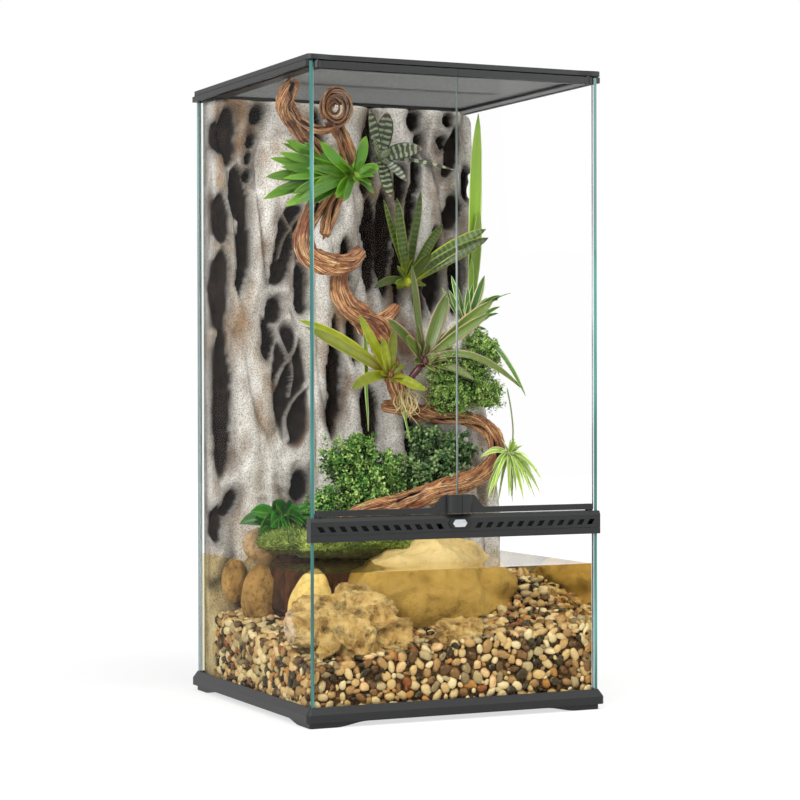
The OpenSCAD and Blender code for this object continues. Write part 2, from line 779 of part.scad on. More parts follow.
gravel_steps = 12;
module gravel_solid() {
  n = gravel_steps;
  x0 = inner_x - joint_w - fit;
  y0 = front_in + joint_w + fit;
  y1 = back_y - joint_w - fit;
  x_at = function (i) -x0 + 2 * x0 * i / n;
  y_at = function (j) y0 + (y1 - y0) * j / n;
  top = [
    for (j = [0 : n], i = [0 : n])
      [x_at(i), y_at(j), gravel_z(x_at(i) * laid_half_w / inner_x, y_at(j) * laid_back / back_y) * ledge_z / laid_top]
  ];
  count = len(top);
  rim = concat(
    [for (i = [0 : n - 1]) i],
    [for (j = [0 : n - 1]) j * (n + 1) + n],
    [for (i = [n : -1 : 1]) n * (n + 1) + i],
    [for (j = [n : -1 : 1]) j * (n + 1)]
  );
  m = len(rim);
  polyhedron(
    points = concat(top, [for (k = rim) [top[k].x, top[k].y, floor_z + lie_gap]]),
    faces = concat(
      [for (j = [0 : n - 1], i = [0 : n - 1])
        let (a = j * (n + 1) + i, b = a + n + 1)
        each [[a, b, b + 1], [a, b + 1, a + 1]]],
      [for (k = [0 : m - 1])
        let (l = (k + 1) % m)
        each [[rim[k], rim[l], count + l], [rim[k], count + l, count + k]]],
      [[for (k = [0 : m - 1]) count + k]]
    ),
    convexity = 10
  );
}

module stones_solid(grow) {
  boulder_solid(grow);
  front_solid(grow);
  small_solid(grow);
  slab_solid(grow);
  egg_solid(grow);
  top_solid(grow);
  back_solid(grow);
}

module gravel_bed() {
  color("#c3a888") one_surface() difference() {
    gravel_solid();
    panel_solid(lie_gap);
    stones_solid(lie_gap);
    bank_solid(lie_gap);
  }
}

module bank_solid(grow = 0) lump([-50, 104, 160], [128, 98, 76], 2, grow, 0.7, 0.05, 6, 12);
module land_bank() {
  color("#5b3a28") one_surface() difference() {
    bank_solid();
    panel_solid(lie_gap);
    stones_solid(lie_gap);
  }
}

module moss_solid(grow = 0) lump([-55, 66, 236], [114, 100, 27], 3, grow, 0.9, 0.05, 6, 14);
module moss_carpet() {
  color("#6f7f2f") one_surface() difference() {
    moss_solid();
    panel_solid(lie_gap);
    stones_solid(lie_gap);
    bank_solid(lie_gap);
    lower_solid(lie_gap);
    broad_solid(lie_gap);
  }
}

// ---- stones ----

module boulder_solid(grow = 0) lump([45, -25, 158], [134, 88, 80], 1, grow, 0.8, 0.06, 7, 12);
module front_solid(grow = 0) lump([-130, -150, 126], [66, 46, 50], 4, grow, 0.8, 0.1, 6, 11);
module small_solid(grow = 0) lump([25, -182, 110], [36, 21, 24], 5, grow, 0.9, 0.1);
module slab_solid(grow = 0) lump([-150, -45, 140], [30, 27, 58], 6, grow, 0.7, 0.06);
module egg_solid(grow = 0) lump([-178, 122, 157], [29, 27, 46], 7, grow, 1, 0.03);
module top_solid(grow = 0) lump([-160, 132, 228], [37, 30, 27], 8, grow, 1, 0.03);
module back_solid(grow = 0) lump([-188, 164, 172], [20, 22, 34], 9, grow, 1, 0.05);

module boulder_center() color(stone_tan) one_surface() difference() {
  boulder_solid();
  panel_solid(lie_gap);
}
module rock_front() color("#a98a5e") one_surface() difference() {
  front_solid();
  boulder_solid(lie_gap);
}
module rock_small() color("#b39a6c") one_surface() small_solid();
module rock_slab_left() color("#d3c187") one_surface() difference() {
  slab_solid();
  boulder_solid(lie_gap);
}
module rock_left_egg() color("#c08a48") one_surface() difference() {
  egg_solid();
  top_solid(lie_gap);
  panel_solid(lie_gap);
}
module rock_left_top() color("#b98549") one_surface() difference() {
  top_solid();
  panel_solid(lie_gap);
}
module rock_left_back() color("#b08a55") one_surface() difference() {
  back_solid();
  egg_solid(lie_gap);
  top_solid(lie_gap);
  panel_solid(lie_gap);
}

// ---- twisted wood: each point is [x, y, z, radius] ----

coil_middle = [-117, -60, 877];
coil_out = 17;
coil_turns = 1.6;
coil_points = [
  for (k = [0 : 16])
    let (a = 200 - 360 * coil_turns * k / 16, r = coil_out * (1 - 0.6 * k / 16))
    [coil_middle.x + r * 1.15 * cos(a), coil_middle.y - 12 + 24 * k / 16, coil_middle.z + r * sin(a), 8]
];
strand_left = [
  [-193, -120, 896, 7], [-191, -98, 891, 8], [-176, -44, 884, 10], [-144, -2, 862, 9],
  [-118, 10, 835, 8], [-100, 8, 814, 8], [-88, 10, 788, 9], [-85, 8, 762, 12]
];
strand_right = [[-107, -58, 867, 7], [-86, -34, 827, 7], [-66, -10, 794, 7], [-76, 6, 770, 8]];
hook_points = [
  [-84, 8, 772, 9], [-112, 10, 739, 13], [-136, 10, 697, 13], [-128, 12, 664, 13],
  [-98, 14, 650, 14], [-62, 20, 652, 14], [-38, 28, 668, 11]
];
trunk_points = [
  [-58, 43, 655, 11], [-66, 43, 622, 14], [-52, 44, 592, 14], [-20, 50, 570, 15],
  [4, 52, 550, 16], [16, 58, 522, 15], [30, 60, 486, 14], [44, 62, 449, 12]
];
trunk_stub = [[-6, 50, 556, 12], [20, 60, 570, 11], [38, 70, 585, 7]];
lower_points = [
  [22, 74, 437, 9], [52, 66, 434, 12], [100, 60, 423, 12], [155, 50, 416, 11], [192, 40, 394, 12],
  [197, 32, 356, 13], [162, 28, 331, 13], [92, 15, 311, 12], [19, 5, 292, 12], [-55, 0, 283, 10],
  [-98, 14, 258, 7]
];

module coil_solid(grow = 0) {
  stem(rope(coil_points), grow, 1);
  stem(rope(strand_left), grow);
  stem(rope(strand_right), grow);
}
module hook_solid(grow = 0) stem(rope(hook_points), grow, 3);
module trunk_solid(grow = 0) {
  stem(rope(trunk_points), grow);
  stem(rope(trunk_stub), grow);
}
module lower_solid(grow = 0) stem(rope(lower_points), grow);

module liana_top_coil() color(wood) one_surface() coil_solid();
module liana_hook() color(wood) one_surface() difference() {
  hook_solid();
  coil_solid(lie_gap);
}
module liana_trunk() color(wood) one_surface() difference() {
  trunk_solid();
  hook_solid(lie_gap);
}
module liana_lower() color(wood) one_surface() difference() {
  lower_solid();
  trunk_solid(lie_gap);
  bank_solid(lie_gap);
}

// ---- plants ----

green_leaves = [
  [[-206, -4, 740], 20, 18], [[-204, -10, 772], 22, 6], [[-196, -8, 800], 20, 0], [[-172, -8, 828], 20, -4],
  [[-146, -14, 824], 20, -6], [[-183, -34, 728], 20, 10], [[-154, -46, 730], 20, 8], [[-112, -54, 742], 20, 6],
  [[-52, -28, 836], 20, 0], [[-32, -30, 790], 18, 6], [[-48, -46, 750], 18, 6], [[-102, -50, 794], 20, 4]
];
module green_solid(grow = 0) rosette([-70, -28, 776], [-82, 4, 768], 12, green_leaves, grow);
module bromeliad_green() color(leaf_green) one_surface() difference() {
  green_solid();
  coil_solid(lie_gap);
  hook_solid(lie_gap);
}

banded_leaves = [
  [[54, 128, 893], 24, 0], [[104, 110, 836], 22, 8], [[160, 108, 805], 6, 10], [[20, 120, 892], 18, 0],
  [[55, 120, 760], 16, 6], [[76, 105, 785], 16, 8], [[20, 108, 850], 14, 0]
];
module banded_solid(grow = 0) rosette([46, 138, 822], [48, 170, 822], 9, banded_leaves, grow);
module bromeliad_banded() color("#4f6b3f") one_surface() difference() {
  banded_solid();
  panel_solid(lie_gap);
}

upper_leaves = [
  [[60, 108, 758], 18, 0], [[102, 108, 772], 20, 0], [[131, 92, 719], 20, 4], [[201, 80, 712], 24, 14],
  [[199, 68, 698], 22, 6], [[107, 82, 671], 16, 4], [[42, 118, 756], 12, 0], [[20, 106, 618], 12, 16]
];
module upper_solid(grow = 0) rosette([88, 128, 630], [90, 172, 622], 11, upper_leaves, grow);
module bromeliad_upper() color("#567a35") one_surface() difference() {
  upper_solid();
  panel_solid(lie_gap);
}

center_leaves = [
  [[51, 34, 651], 17, 0], [[112, 36, 609], 20, 0], [[186, 26, 599], 18, 4], [[170, 8, 578], 14, 6],
  [[139, -4, 477], 17, 12], [[2, 16, 568], 16, 12], [[22, -6, 541], 16, 8], [[137, 56, 555], 15, 6],
  [[211, -22, 462], 13, 60], [[46, 6, 561], 14, 0]
];
module center_solid(grow = 0) rosette([76, 44, 505], [44, 58, 462], 13, center_leaves, grow);
module bromeliad_center() color("#8a7a4a") one_surface() difference() {
  center_solid();
  trunk_solid(lie_gap);
}

left_leaves = [
  [[-131, 14, 555], 18, 6], [[-42, 22, 575], 16, 0], [[-67, -6, 463], 16, 16], [[47, -22, 460], 18, 6],
  [[-133, 40, 566], 12, 24], [[8, 6, 552], 14, 0], [[-10, 8, 540], 14, 0]
];
module left_solid(grow = 0) rosette([12, 30, 484], [32, 56, 484], 11, left_leaves, grow);
module bromeliad_left() color("#8d9a35") one_surface() difference() {
  left_solid();
  trunk_solid(lie_gap);
  center_solid(lie_gap);
}

spider_up_leaves = [
  [[200, 84, 637], 14, 0], [[208, 10, 610], 8, 24], [[138, 84, 617], 9, 0], [[163, 64, 600], 9, 0],
  [[207, 44, 590], 8, 10], [[180, 60, 532], 9, 30], [[212, -30, 452], 10, 50], [[150, 100, 640], 8, 0]
];
module spider_up_solid(grow = 0) rosette([170, 86, 556], [164, 70, 520], 8, spider_up_leaves, grow);
module spider_plant_upper() color("#86a54a") one_surface() difference() {
  spider_up_solid();
  center_solid(lie_gap);
  panel_solid(lie_gap);
  upper_solid(lie_gap);
}

spider_low_leaves = [
  [[146, -32, 297], 9, 18], [[167, -24, 288], 9, 22], [[188, -32, 292], 9, 20], [[202, -42, 295], 9, 22],
  [[210, -78, 308], 9, 24], [[210, -84, 327], 9, 24], [[209, -46, 348], 8, 16], [[146, -6, 359], 8, 14],
  [[206, -18, 372], 7, 6], [[190, -34, 388], 7, 0]
];
runner = [[204, 16, 465, 1.3], [206, 6, 430, 1.3], [204, -4, 395, 1.3], [199, -6, 368, 1.5]];
module spider_low_solid(grow = 0) {
  rosette([196, -6, 364], [197, 26, 358], 7, spider_low_leaves, grow);
  stem(rope(runner), grow, 2, 5, 0);
}
module spider_plant_lower() color("#a9bf62") one_surface() difference() {
  spider_low_solid();
  lower_solid(lie_gap);
}

module tall_solid(grow = 0) {
  leaf([200, 128, 592], [211, 122, 745], 16, 0, grow);
  leaf([200, 128, 592], [212, 128, 898], 20, 0, grow);
  stem(rope([[200, 128, 596, 6], [198, 172, 586, 5]]), grow, 1, 6, 0);
}
module tall_leaf_plant() color("#86a840") one_surface() difference() {
  tall_solid();
  panel_solid(lie_gap);
  upper_solid(lie_gap);
  spider_up_solid(lie_gap);
}

broad_leaves = [
  [[-210, 84, 263], 34, 12], [[-201, 62, 282], 32, 8], [[-166, 60, 296], 34, 4], [[-122, 60, 283], 32, 4],
  [[-110, 46, 264], 30, 7], [[-124, 40, 240], 28, 13], [[-178, 38, 260], 34, 11], [[-82, 72, 288], 22, 5]
];
module broad_solid(grow = 0) rosette([-138, 84, 268], [-132, 99, 231], 12, broad_leaves, grow);
module broadleaf_plant() color("#4f8f3a") one_surface() difference() {
  broad_solid();
  top_solid(lie_gap);
  panel_solid(lie_gap);
  bank_solid(lie_gap);
}

module creeper_solid(grow = 0) lump([143, 50, 482], [64, 40, 66], 4, grow, 1, 0.08, 7, 12);
module creeper_cushion() color("#6d9440") one_surface() difference() {
  creeper_solid();
  lower_solid(lie_gap);
  trunk_solid(lie_gap);
  center_solid(lie_gap);
  spider_up_solid(lie_gap);
  spider_low_solid(lie_gap);
  panel_solid(lie_gap);
}

module under_left_solid(grow = 0) lump([-30, 52, 322], [82, 44, 66], 5, grow, 0.9, 0.08, 7, 12);
module undergrowth_left() color("#4c8a3a") one_surface() difference() {
  under_left_solid();
  moss_solid(lie_gap);
  lower_solid(lie_gap);
  panel_solid(lie_gap);
  broad_solid(lie_gap);
  hanging_solid(lie_gap);
}

module under_right_solid(grow = 0) lump([108, 62, 352], [62, 36, 46], 6, grow, 1, 0.08, 6, 11);
module undergrowth_right() color("#3f7a3c") one_surface() difference() {
  under_right_solid();
  under_left_solid(lie_gap);
  lower_solid(lie_gap);
  panel_solid(lie_gap);
  spider_low_solid(lie_gap);
}

module hanging_solid(grow = 0) {
  leaf([-22, 46, 556], [-27, 24, 400], 9, 0, grow);
  leaf([42, 53, 456], [40, 20, 385], 7, 0, grow);
}
module hanging_leaves() color("#8fae4a") one_surface() difference() {
  hanging_solid();
  trunk_solid(lie_gap);
  left_solid(lie_gap);
  center_solid(lie_gap);
  lower_solid(lie_gap);
}

base_frame();
bottom_pane();
back_pane();
left_pane();
right_pane();
front_pane();
pane_sealant();
vent_rail();
vent_screen();
badge_bezel();
badge_plate();
left_door_pane();
left_door_bottom_rail();
left_door_top_rail();
left_hinge_pins();
right_door_pane();
right_door_bottom_rail();
right_door_top_rail();
right_hinge_pins();
top_frame();
screen_frame();
screen_mesh();
screen_stiffener();
screen_lock_left();
screen_lock_right();
cable_inlet_slider_left();
cable_inlet_slider_right();
background_panel();
gravel_bed();
land_bank();
moss_carpet();
boulder_center();
rock_front();
rock_small();
rock_slab_left();
rock_left_egg();
rock_left_top();
rock_left_back();
liana_top_coil();
liana_hook();
liana_trunk();
liana_lower();
bromeliad_green();
bromeliad_banded();
bromeliad_upper();
bromeliad_center();
bromeliad_left();
spider_plant_upper();
spider_plant_lower();
tall_leaf_plant();
broadleaf_plant();
creeper_cushion();
undergrowth_left();
undergrowth_right();
hanging_leaves();
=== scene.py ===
"""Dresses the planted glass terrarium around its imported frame.

The frame gives the shell: base, panes, ventilation rail, doors, top frame and screen cover. This script
gives each of these its finish and builds what stands in the tank in full detail: the relief background,
pebbles, stones, water, moss, twisted vine and plants. Sizes are millimetres in the tank's own layout,
which the Tank class turns into metres in the frame.
"""

import logging
import math
from dataclasses import dataclass, field
from enum import Enum
from typing import Any, Sequence

import bpy
import numpy as np
from mathutils import Matrix, Vector

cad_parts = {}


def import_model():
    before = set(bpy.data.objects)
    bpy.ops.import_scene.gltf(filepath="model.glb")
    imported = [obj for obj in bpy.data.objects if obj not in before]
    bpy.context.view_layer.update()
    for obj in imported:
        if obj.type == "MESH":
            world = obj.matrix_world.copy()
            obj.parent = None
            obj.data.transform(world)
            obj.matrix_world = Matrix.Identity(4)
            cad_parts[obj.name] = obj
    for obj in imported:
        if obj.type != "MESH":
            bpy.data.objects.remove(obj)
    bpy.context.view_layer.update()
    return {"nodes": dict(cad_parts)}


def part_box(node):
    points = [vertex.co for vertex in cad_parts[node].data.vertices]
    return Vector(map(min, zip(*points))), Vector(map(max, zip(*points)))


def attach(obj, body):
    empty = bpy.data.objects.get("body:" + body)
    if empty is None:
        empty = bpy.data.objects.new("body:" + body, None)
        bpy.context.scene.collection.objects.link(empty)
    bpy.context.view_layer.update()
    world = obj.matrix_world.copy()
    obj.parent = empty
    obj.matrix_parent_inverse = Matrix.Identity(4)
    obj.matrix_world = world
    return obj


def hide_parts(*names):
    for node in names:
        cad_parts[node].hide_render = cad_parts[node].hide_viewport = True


LOG = logging.getLogger("terrarium")
MM = 0.001

Array = np.ndarray
Colour = tuple[float, float, float, float]
Tree = bpy.types.NodeTree
Node = bpy.types.Node
Stops = Sequence[tuple[float, str]]
Piece = bpy.types.Object
Point = tuple[float, float, float]
Place = Sequence[float]

# Places of the inputs of a Map Range node, and of the sockets of a Mix node that mixes colours
FROM_LOW, FROM_HIGH, TO_LOW, TO_HIGH = 1, 2, 3, 4
MIX_SHARE, MIX_A, MIX_B, MIX_OUT = 0, 6, 7, 2
# Settings of a Mix node that lays one colour over another, or multiplies the two
LAID_OVER = {"data_type": "RGBA"}
MULTIPLIED = {"data_type": "RGBA", "blend_type": "MULTIPLY"}


# ---------------------------------------------------------------- colours and nodes


def linear(code: str) -> Colour:
    """Turns an sRGB hex colour into linear values.

    Args:
        code: A colour such as "#2f6b66".

    Returns:
        Red, green, blue and alpha, as Blender's sockets hold them.
    """
    parts = [int(code[i : i + 2], 16) / 255 for i in (1, 3, 5)]
    red, green, blue = (c / 12.92 if c <= 0.04045 else ((c + 0.055) / 1.055) ** 2.4 for c in parts)
    return red, green, blue, 1.0


def add(
    tree: Tree, kind: str, inputs: dict[str | int, Any] | None = None, stops: Stops | None = None, **settings: Any
) -> Node:
    """Adds one node to a tree, with its settings and links.

    Args:
        tree: The node tree.
        kind: The node's type name, without its "ShaderNode" prefix.
        inputs: What its inputs get, by name or place. A string is a hex colour, a socket is linked, and a node
            gives its first output, or its colour where it mixes colours.
        stops: Places and hex colours, for a colour ramp.
        **settings: The node's own properties.

    Returns:
        The new node.
    """
    node = tree.nodes.new("ShaderNode" + kind)
    for name, value in settings.items():
        setattr(node, name, value)
    for key, value in (inputs or {}).items():
        if isinstance(value, Node):
            value = value.outputs[MIX_OUT if getattr(value, "data_type", "") == "RGBA" else 0]
        if isinstance(value, bpy.types.NodeSocket):
            tree.links.new(value, node.inputs[key])
        else:
            node.inputs[key].default_value = linear(value) if isinstance(value, str) else value
    if stops:
        elements = node.color_ramp.elements
        while len(elements) > 1:
            elements.remove(elements[-1])
        elements[0].position, elements[0].color = stops[0][0], linear(stops[0][1])
        for place, code in stops[1:]:
            elements.new(place).color = linear(code)
    return node


def grain(tree: Tree, size_mm: float, detail: float = 2.0, stretch: Place = (1, 1, 1)) -> Node:
    """Adds a noise pattern on Object coordinates, with spots of a given size and packed by stretch along each axis."""
    turned = add(tree, "Mapping", {"Vector": add(tree, "TexCoord").outputs["Object"], "Scale": tuple(stretch)})
    return add(tree, "TexNoise", {"Vector": turned, "Scale": 1 / (size_mm * MM), "Detail": detail, "Roughness": 0.6})


def seen_directly(tree: Tree) -> Node:
    """Adds the light path's test for camera, mirror and see-through rays.

    Args:
        tree: The node tree of the world or of the floor.

    Returns:
        The node that gives 1 for these rays and 0 for the light that falls on things.
    """
    rays = add(tree, "LightPath").outputs
    seen = add(tree, "Math", {0: rays["Is Camera Ray"], 1: rays["Is Glossy Ray"]}, operation="MAXIMUM")
    return add(tree, "Math", {0: seen, 1: rays["Is Transmission Ray"]}, operation="MAXIMUM")


@dataclass(frozen=True)
class Finish:
    """A surface, made once as a material and shared by all pieces that have it."""

    name: str

    def paint(self, tree: Tree) -> Node:
        """Builds the shader in an empty tree and returns its last node."""
        raise NotImplementedError

    def material(self) -> bpy.types.Material:
        """Makes the material the first time it is asked for.

        Returns:
            The one material of this finish.
        """
        found = bpy.data.materials.get(self.name)
        if found is not None:
            return found
        made = bpy.data.materials.new(self.name)
        made.use_nodes = True
        made.node_tree.nodes.clear()
        add(made.node_tree, "OutputMaterial", {"Surface": self.paint(made.node_tree)})
        return made


# ---------------------------------------------------------------- finishes of the shell


@dataclass(frozen=True)
class MouldedPlastic(Finish):
    """Injection-moulded ABS from a spark-eroded mould: a soft sheen over a fine grain."""

    colour: str = "#111213"
    roughness: float = 0.42
    grain_mm: float = 0.9  # real grain is about 0.1 mm, drawn coarser so that it shows
    grain_depth: float = 0.00006

    def paint(self, tree: Tree) -> Node:
        """Builds dark plastic with rounded edges and a fine moulded grain.

        Args:
            tree: Takes the nodes.

        Returns:
            The shader.
        """
        soft = add(tree, "Bevel", {"Radius": 0.0007}, samples=4)
        spots = grain(tree, self.grain_mm, 1)
        bump = add(tree, "Bump", {"Height": spots, "Distance": self.grain_depth, "Strength": 0.5, "Normal": soft})
        wear = add(tree, "MapRange", {"Value": grain(tree, 45, 3), TO_LOW: 0.86, TO_HIGH: 1.14})
        shade = add(tree, "Mix", {MIX_SHARE: 1.0, MIX_A: self.colour, MIX_B: wear}, **MULTIPLIED)
        sheen = add(tree, "MapRange", {"Value": spots, TO_LOW: self.roughness - 0.05, TO_HIGH: self.roughness + 0.07})
        return add(tree, "BsdfPrincipled", {"Base Color": shade, "Roughness": sheen, "Normal": bump, "IOR": 1.42})


class Across(Enum):
    """The axis that a pane is thin along."""

    X = 0
    Y = 1
    Z = 2


@dataclass(frozen=True)
class FloatGlass(Finish):
    """Float glass: almost invisible, with a faint mirror image at a slant and deep teal cut edges."""

    across: Across = Across.Y
    ior: float = 1.5
    mirror: float = 0.12  # share of the mirror image that a polarising filter lets by
    edges: Stops = ((0.3, "#123f3c"), (0.5, "#1f625d"), (0.72, "#4d958d"))

    def paint(self, tree: Tree) -> Node:
        """Builds clear faces that mirror by angle, and coloured, slightly frosted edges.

        Args:
            tree: Takes the nodes.

        Returns:
            The shader.
        """
        normal = add(tree, "SeparateXYZ", {0: add(tree, "TexCoord").outputs["Normal"]})
        flat = add(tree, "Math", {0: normal.outputs[self.across.value]}, operation="ABSOLUTE")
        is_face = add(tree, "Math", {0: flat, 1: 0.5}, operation="GREATER_THAN")
        shine = add(tree, "Fresnel", {"IOR": self.ior})
        # the near side of the pane mirrors for both, because its far side would mirror all that comes at a slant
        is_far = add(tree, "NewGeometry").outputs["Backfacing"]
        share = add(tree, "Math", {0: shine, 1: self.mirror}, operation="MULTIPLY")
        once = add(tree, "Math", {0: share, 1: is_far}, operation="SUBTRACT", use_clamp=True)
        clear = add(tree, "BsdfTransparent", {"Color": "#ffffff"})
        mirror = add(tree, "BsdfGlossy", {"Color": "#ffffff", "Roughness": 0.0})
        face = add(tree, "MixShader", {0: once, 1: clear, 2: mirror})
        tint = add(tree, "ValToRGB", {"Fac": grain(tree, 14, 2, (1, 1, 0.06))}, stops=self.edges)
        edge = add(tree, "BsdfPrincipled", {"Base Color": tint, "Roughness": 0.28, "IOR": self.ior, "Coat Weight": 0.4})
        return add(tree, "MixShader", {0: is_face, 1: edge, 2: face})


@dataclass(frozen=True)
class Silicone(Finish):
    """Clear acetic silicone squeezed between two panes: a thin, slightly milky line."""

    def paint(self, tree: Tree) -> Node:
        """Builds a half-clear, softly shining film.

        Args:
            tree: Takes the nodes.

        Returns:
            The shader.
        """
        haze = add(tree, "MapRange", {"Value": grain(tree, 6, 2), TO_LOW: 0.35, TO_HIGH: 0.6})
        body = add(tree, "BsdfPrincipled", {"Base Color": "#b7c4c1", "Roughness": 0.35})
        return add(tree, "MixShader", {0: haze, 1: add(tree, "BsdfTransparent", {"Color": "#eef4f2"}), 2: body})


@dataclass(frozen=True)
class BrushedSteel(Finish):
    """Turned steel pin: fine rings around the shaft that stretch the highlight."""

    def paint(self, tree: Tree) -> Node:
        """Builds bright metal with fine turning marks."""
        rough = add(tree, "MapRange", {"Value": grain(tree, 0.6, 1, (0.05, 0.05, 1)), TO_LOW: 0.22, TO_HIGH: 0.42})
        return add(tree, "BsdfPrincipled", {"Base Color": "#b9bbbc", "Metallic": 1.0, "Roughness": rough})


@dataclass(frozen=True)
class PowderCoatedWire(Finish):
    """Woven steel wire under a thin grey powder coat: matt, with a faint sparkle."""

    colour: str = "#747573"

    def paint(self, tree: Tree) -> Node:
        """Builds a matt grey coat with small changes of tone from wire to wire.

        Args:
            tree: Takes the nodes.

        Returns:
            The shader.
        """
        tones = ((0.3, "#5a5b5a"), (0.6, self.colour), (0.8, "#939492"))
        shade = add(tree, "ValToRGB", {"Fac": grain(tree, 2.5, 2)}, stops=tones)
        return add(tree, "BsdfPrincipled", {"Base Color": shade, "Roughness": 0.5, "Metallic": 0.35})


@dataclass(frozen=True)
class SatinLabel(Finish):
    """Blank badge plate: satin silver lacquer on plastic, with a fine brushed grain."""

    colour: str = "#c9cbcc"

    def paint(self, tree: Tree) -> Node:
        """Builds satin silver with fine horizontal brushing.

        Args:
            tree: Takes the nodes.

        Returns:
            The shader.
        """
        tones = ((0.3, "#9fa2a4"), (0.7, self.colour))
        shade = add(tree, "ValToRGB", {"Fac": grain(tree, 0.8, 2, (0.08, 1, 1))}, stops=tones)
        return add(tree, "BsdfPrincipled", {"Base Color": shade, "Roughness": 0.34, "Metallic": 0.6})


@dataclass(frozen=True)
class StillWater(Finish):
    """Still water in the tank: a pale amber tint through its sides and a mirror on its surface."""

    side: str = "#f6edd0"
    ior: float = 1.33

    def paint(self, tree: Tree) -> Node:
        """Builds a top that mirrors by angle, clear near sides and ends that mirror the inside.

        Args:
            tree: Takes the nodes.

        Returns:
            The shader.
        """
        normal = add(tree, "SeparateXYZ", {0: add(tree, "TexCoord").outputs["Normal"]}).outputs
        is_top = add(tree, "Math", {0: normal["Z"], 1: 0.5}, operation="GREATER_THAN")
        # seen from inside, a face's normal is turned to the viewer
        is_end = add(tree, "Math", {0: normal["X"], 1: -0.5}, operation="LESS_THAN")
        is_far = add(tree, "NewGeometry").outputs["Backfacing"]
        ripple = add(tree, "Bump", {"Height": grain(tree, 55, 2), "Distance": 0.0006, "Strength": 0.6})
        shine = add(tree, "Fresnel", {"IOR": self.ior, "Normal": ripple})
        on_top = add(tree, "Math", {0: shine, 1: is_top}, operation="MULTIPLY")
        outside = add(tree, "Math", {0: on_top, 1: is_far}, operation="SUBTRACT", use_clamp=True)
        clear = add(tree, "BsdfTransparent", {"Color": self.side})
        mirror = add(tree, "BsdfGlossy", {"Color": "#fdfdfb", "Roughness": 0.02, "Normal": ripple})
        surface = add(tree, "MixShader", {0: outside, 1: clear, 2: mirror})
        # seen through the front, the right end is past the angle of total reflection
        inner = add(tree, "BsdfGlossy", {"Color": self.side, "Roughness": 0.03})
        total = add(tree, "Fresnel", {"IOR": self.ior})
        at_end = add(tree, "Math", {0: is_end, 1: is_far}, operation="MULTIPLY")
        turned = add(tree, "Math", {0: at_end, 1: total}, operation="MULTIPLY")
        return add(tree, "MixShader", {0: turned, 1: surface, 2: inner})


# ---------------------------------------------------------------- finishes of the landscape


@dataclass(frozen=True)
class CoatedFoam(Finish):
    """Rigid foam under a sanded epoxy coat: pale speckled ridges, with near-black painted shade in the dents between
    them.
    """

    patches: Stops = ((0.34, "#7d6552"), (0.42, "#a8a096"), (0.5, "#d6d3cd"), (0.58, "#bdb6ab"), (0.68, "#947a60"))
    specks: Stops = ((0.3, "#6d6963"), (0.43, "#b9b6b0"), (0.53, "#e9e8e5"), (0.66, "#ffffff"))
    # near-black colours of the painted shade in the dents, valleys and creases
    hollow_shade: Stops = ((0.35, "#0a0706"), (0.65, "#241a13"))

    def paint(self, tree: Tree) -> Node:
        """Builds speckled grey ridges with pink and ochre patches, and painted shade in the dents by attribute.

        Args:
            tree: Takes the nodes.

        Returns:
            The shader.
        """
        patches = add(tree, "ValToRGB", {"Fac": grain(tree, 90, 3, (1, 1, 0.45))}, stops=self.patches)
        specks = add(tree, "ValToRGB", {"Fac": grain(tree, 2.2, 3)}, stops=self.specks)
        stone = add(tree, "Mix", {MIX_SHARE: 0.75, MIX_A: patches, MIX_B: specks}, **MULTIPLIED)
        # painted shade: the attribute lays near-black over the dents, valleys and creases, where shade falls
        deep = add(tree, "Attribute", attribute_name="painted_hollow_shade").outputs["Fac"]
        dark = add(tree, "ValToRGB", {"Fac": grain(tree, 12, 3)}, stops=self.hollow_shade)
        shade = add(tree, "Mix", {MIX_SHARE: deep, MIX_A: stone, MIX_B: dark}, **LAID_OVER)
        grit = add(tree, "MapRange", {"Value": deep, TO_LOW: 0.7, TO_HIGH: 0.05})
        bump = add(tree, "Bump", {"Height": grain(tree, 2.4, 3), "Distance": 0.0012, "Strength": grit})
        return add(tree, "BsdfPrincipled", {"Base Color": shade, "Roughness": 0.85, "IOR": 1.2, "Normal": bump})


@dataclass(frozen=True)
class Stone(Finish):
    """Weathered stone: banded colour, grit and pits."""

    light: str = "#dcc07a"
    middle: str = "#c09a55"
    dark: str = "#7d5c31"
    grain_mm: float = 26.0
    pit_mm: float = 9.0
    pit_depth: float = 0.0022
    bands: float = 0.35
    pit_lightness: float = 0.5  # how light the pits stay

    def paint(self, tree: Tree) -> Node:
        """Builds patchy stone with slanting bands, dark pits and fine grit.

        Args:
            tree: Takes the nodes.

        Returns:
            The shader.
        """
        patch = grain(tree, self.grain_mm, 4)
        band = grain(tree, self.grain_mm * 1.6, 3, (0.5, 0.5, 2.4))
        both = add(tree, "Mix", {0: self.bands, 2: patch, 3: band}, data_type="FLOAT")
        tones = ((0.3, self.dark), (0.45, self.middle), (0.62, self.light), (0.8, self.middle))
        shade = add(tree, "ValToRGB", {"Fac": both}, stops=tones)
        pits = add(tree, "MapRange", {"Value": grain(tree, self.pit_mm, 4), FROM_LOW: 0.32, FROM_HIGH: 0.5})
        # darker in the pits, as far as the bump sinks them
        pit_darkening = add(tree, "MapRange", {"Value": pits, TO_LOW: self.pit_lightness, TO_HIGH: 1.0})
        pit_darkened = add(tree, "Mix", {MIX_SHARE: 1.0, MIX_A: shade, MIX_B: pit_darkening}, **MULTIPLIED)
        height = add(tree, "Math", {0: pits, 1: grain(tree, 2.2, 3)}, operation="ADD")
        bump = add(tree, "Bump", {"Height": height, "Distance": self.pit_depth, "Strength": 0.8})
        return add(tree, "BsdfPrincipled", {"Base Color": pit_darkened, "Roughness": 0.55, "Normal": bump})


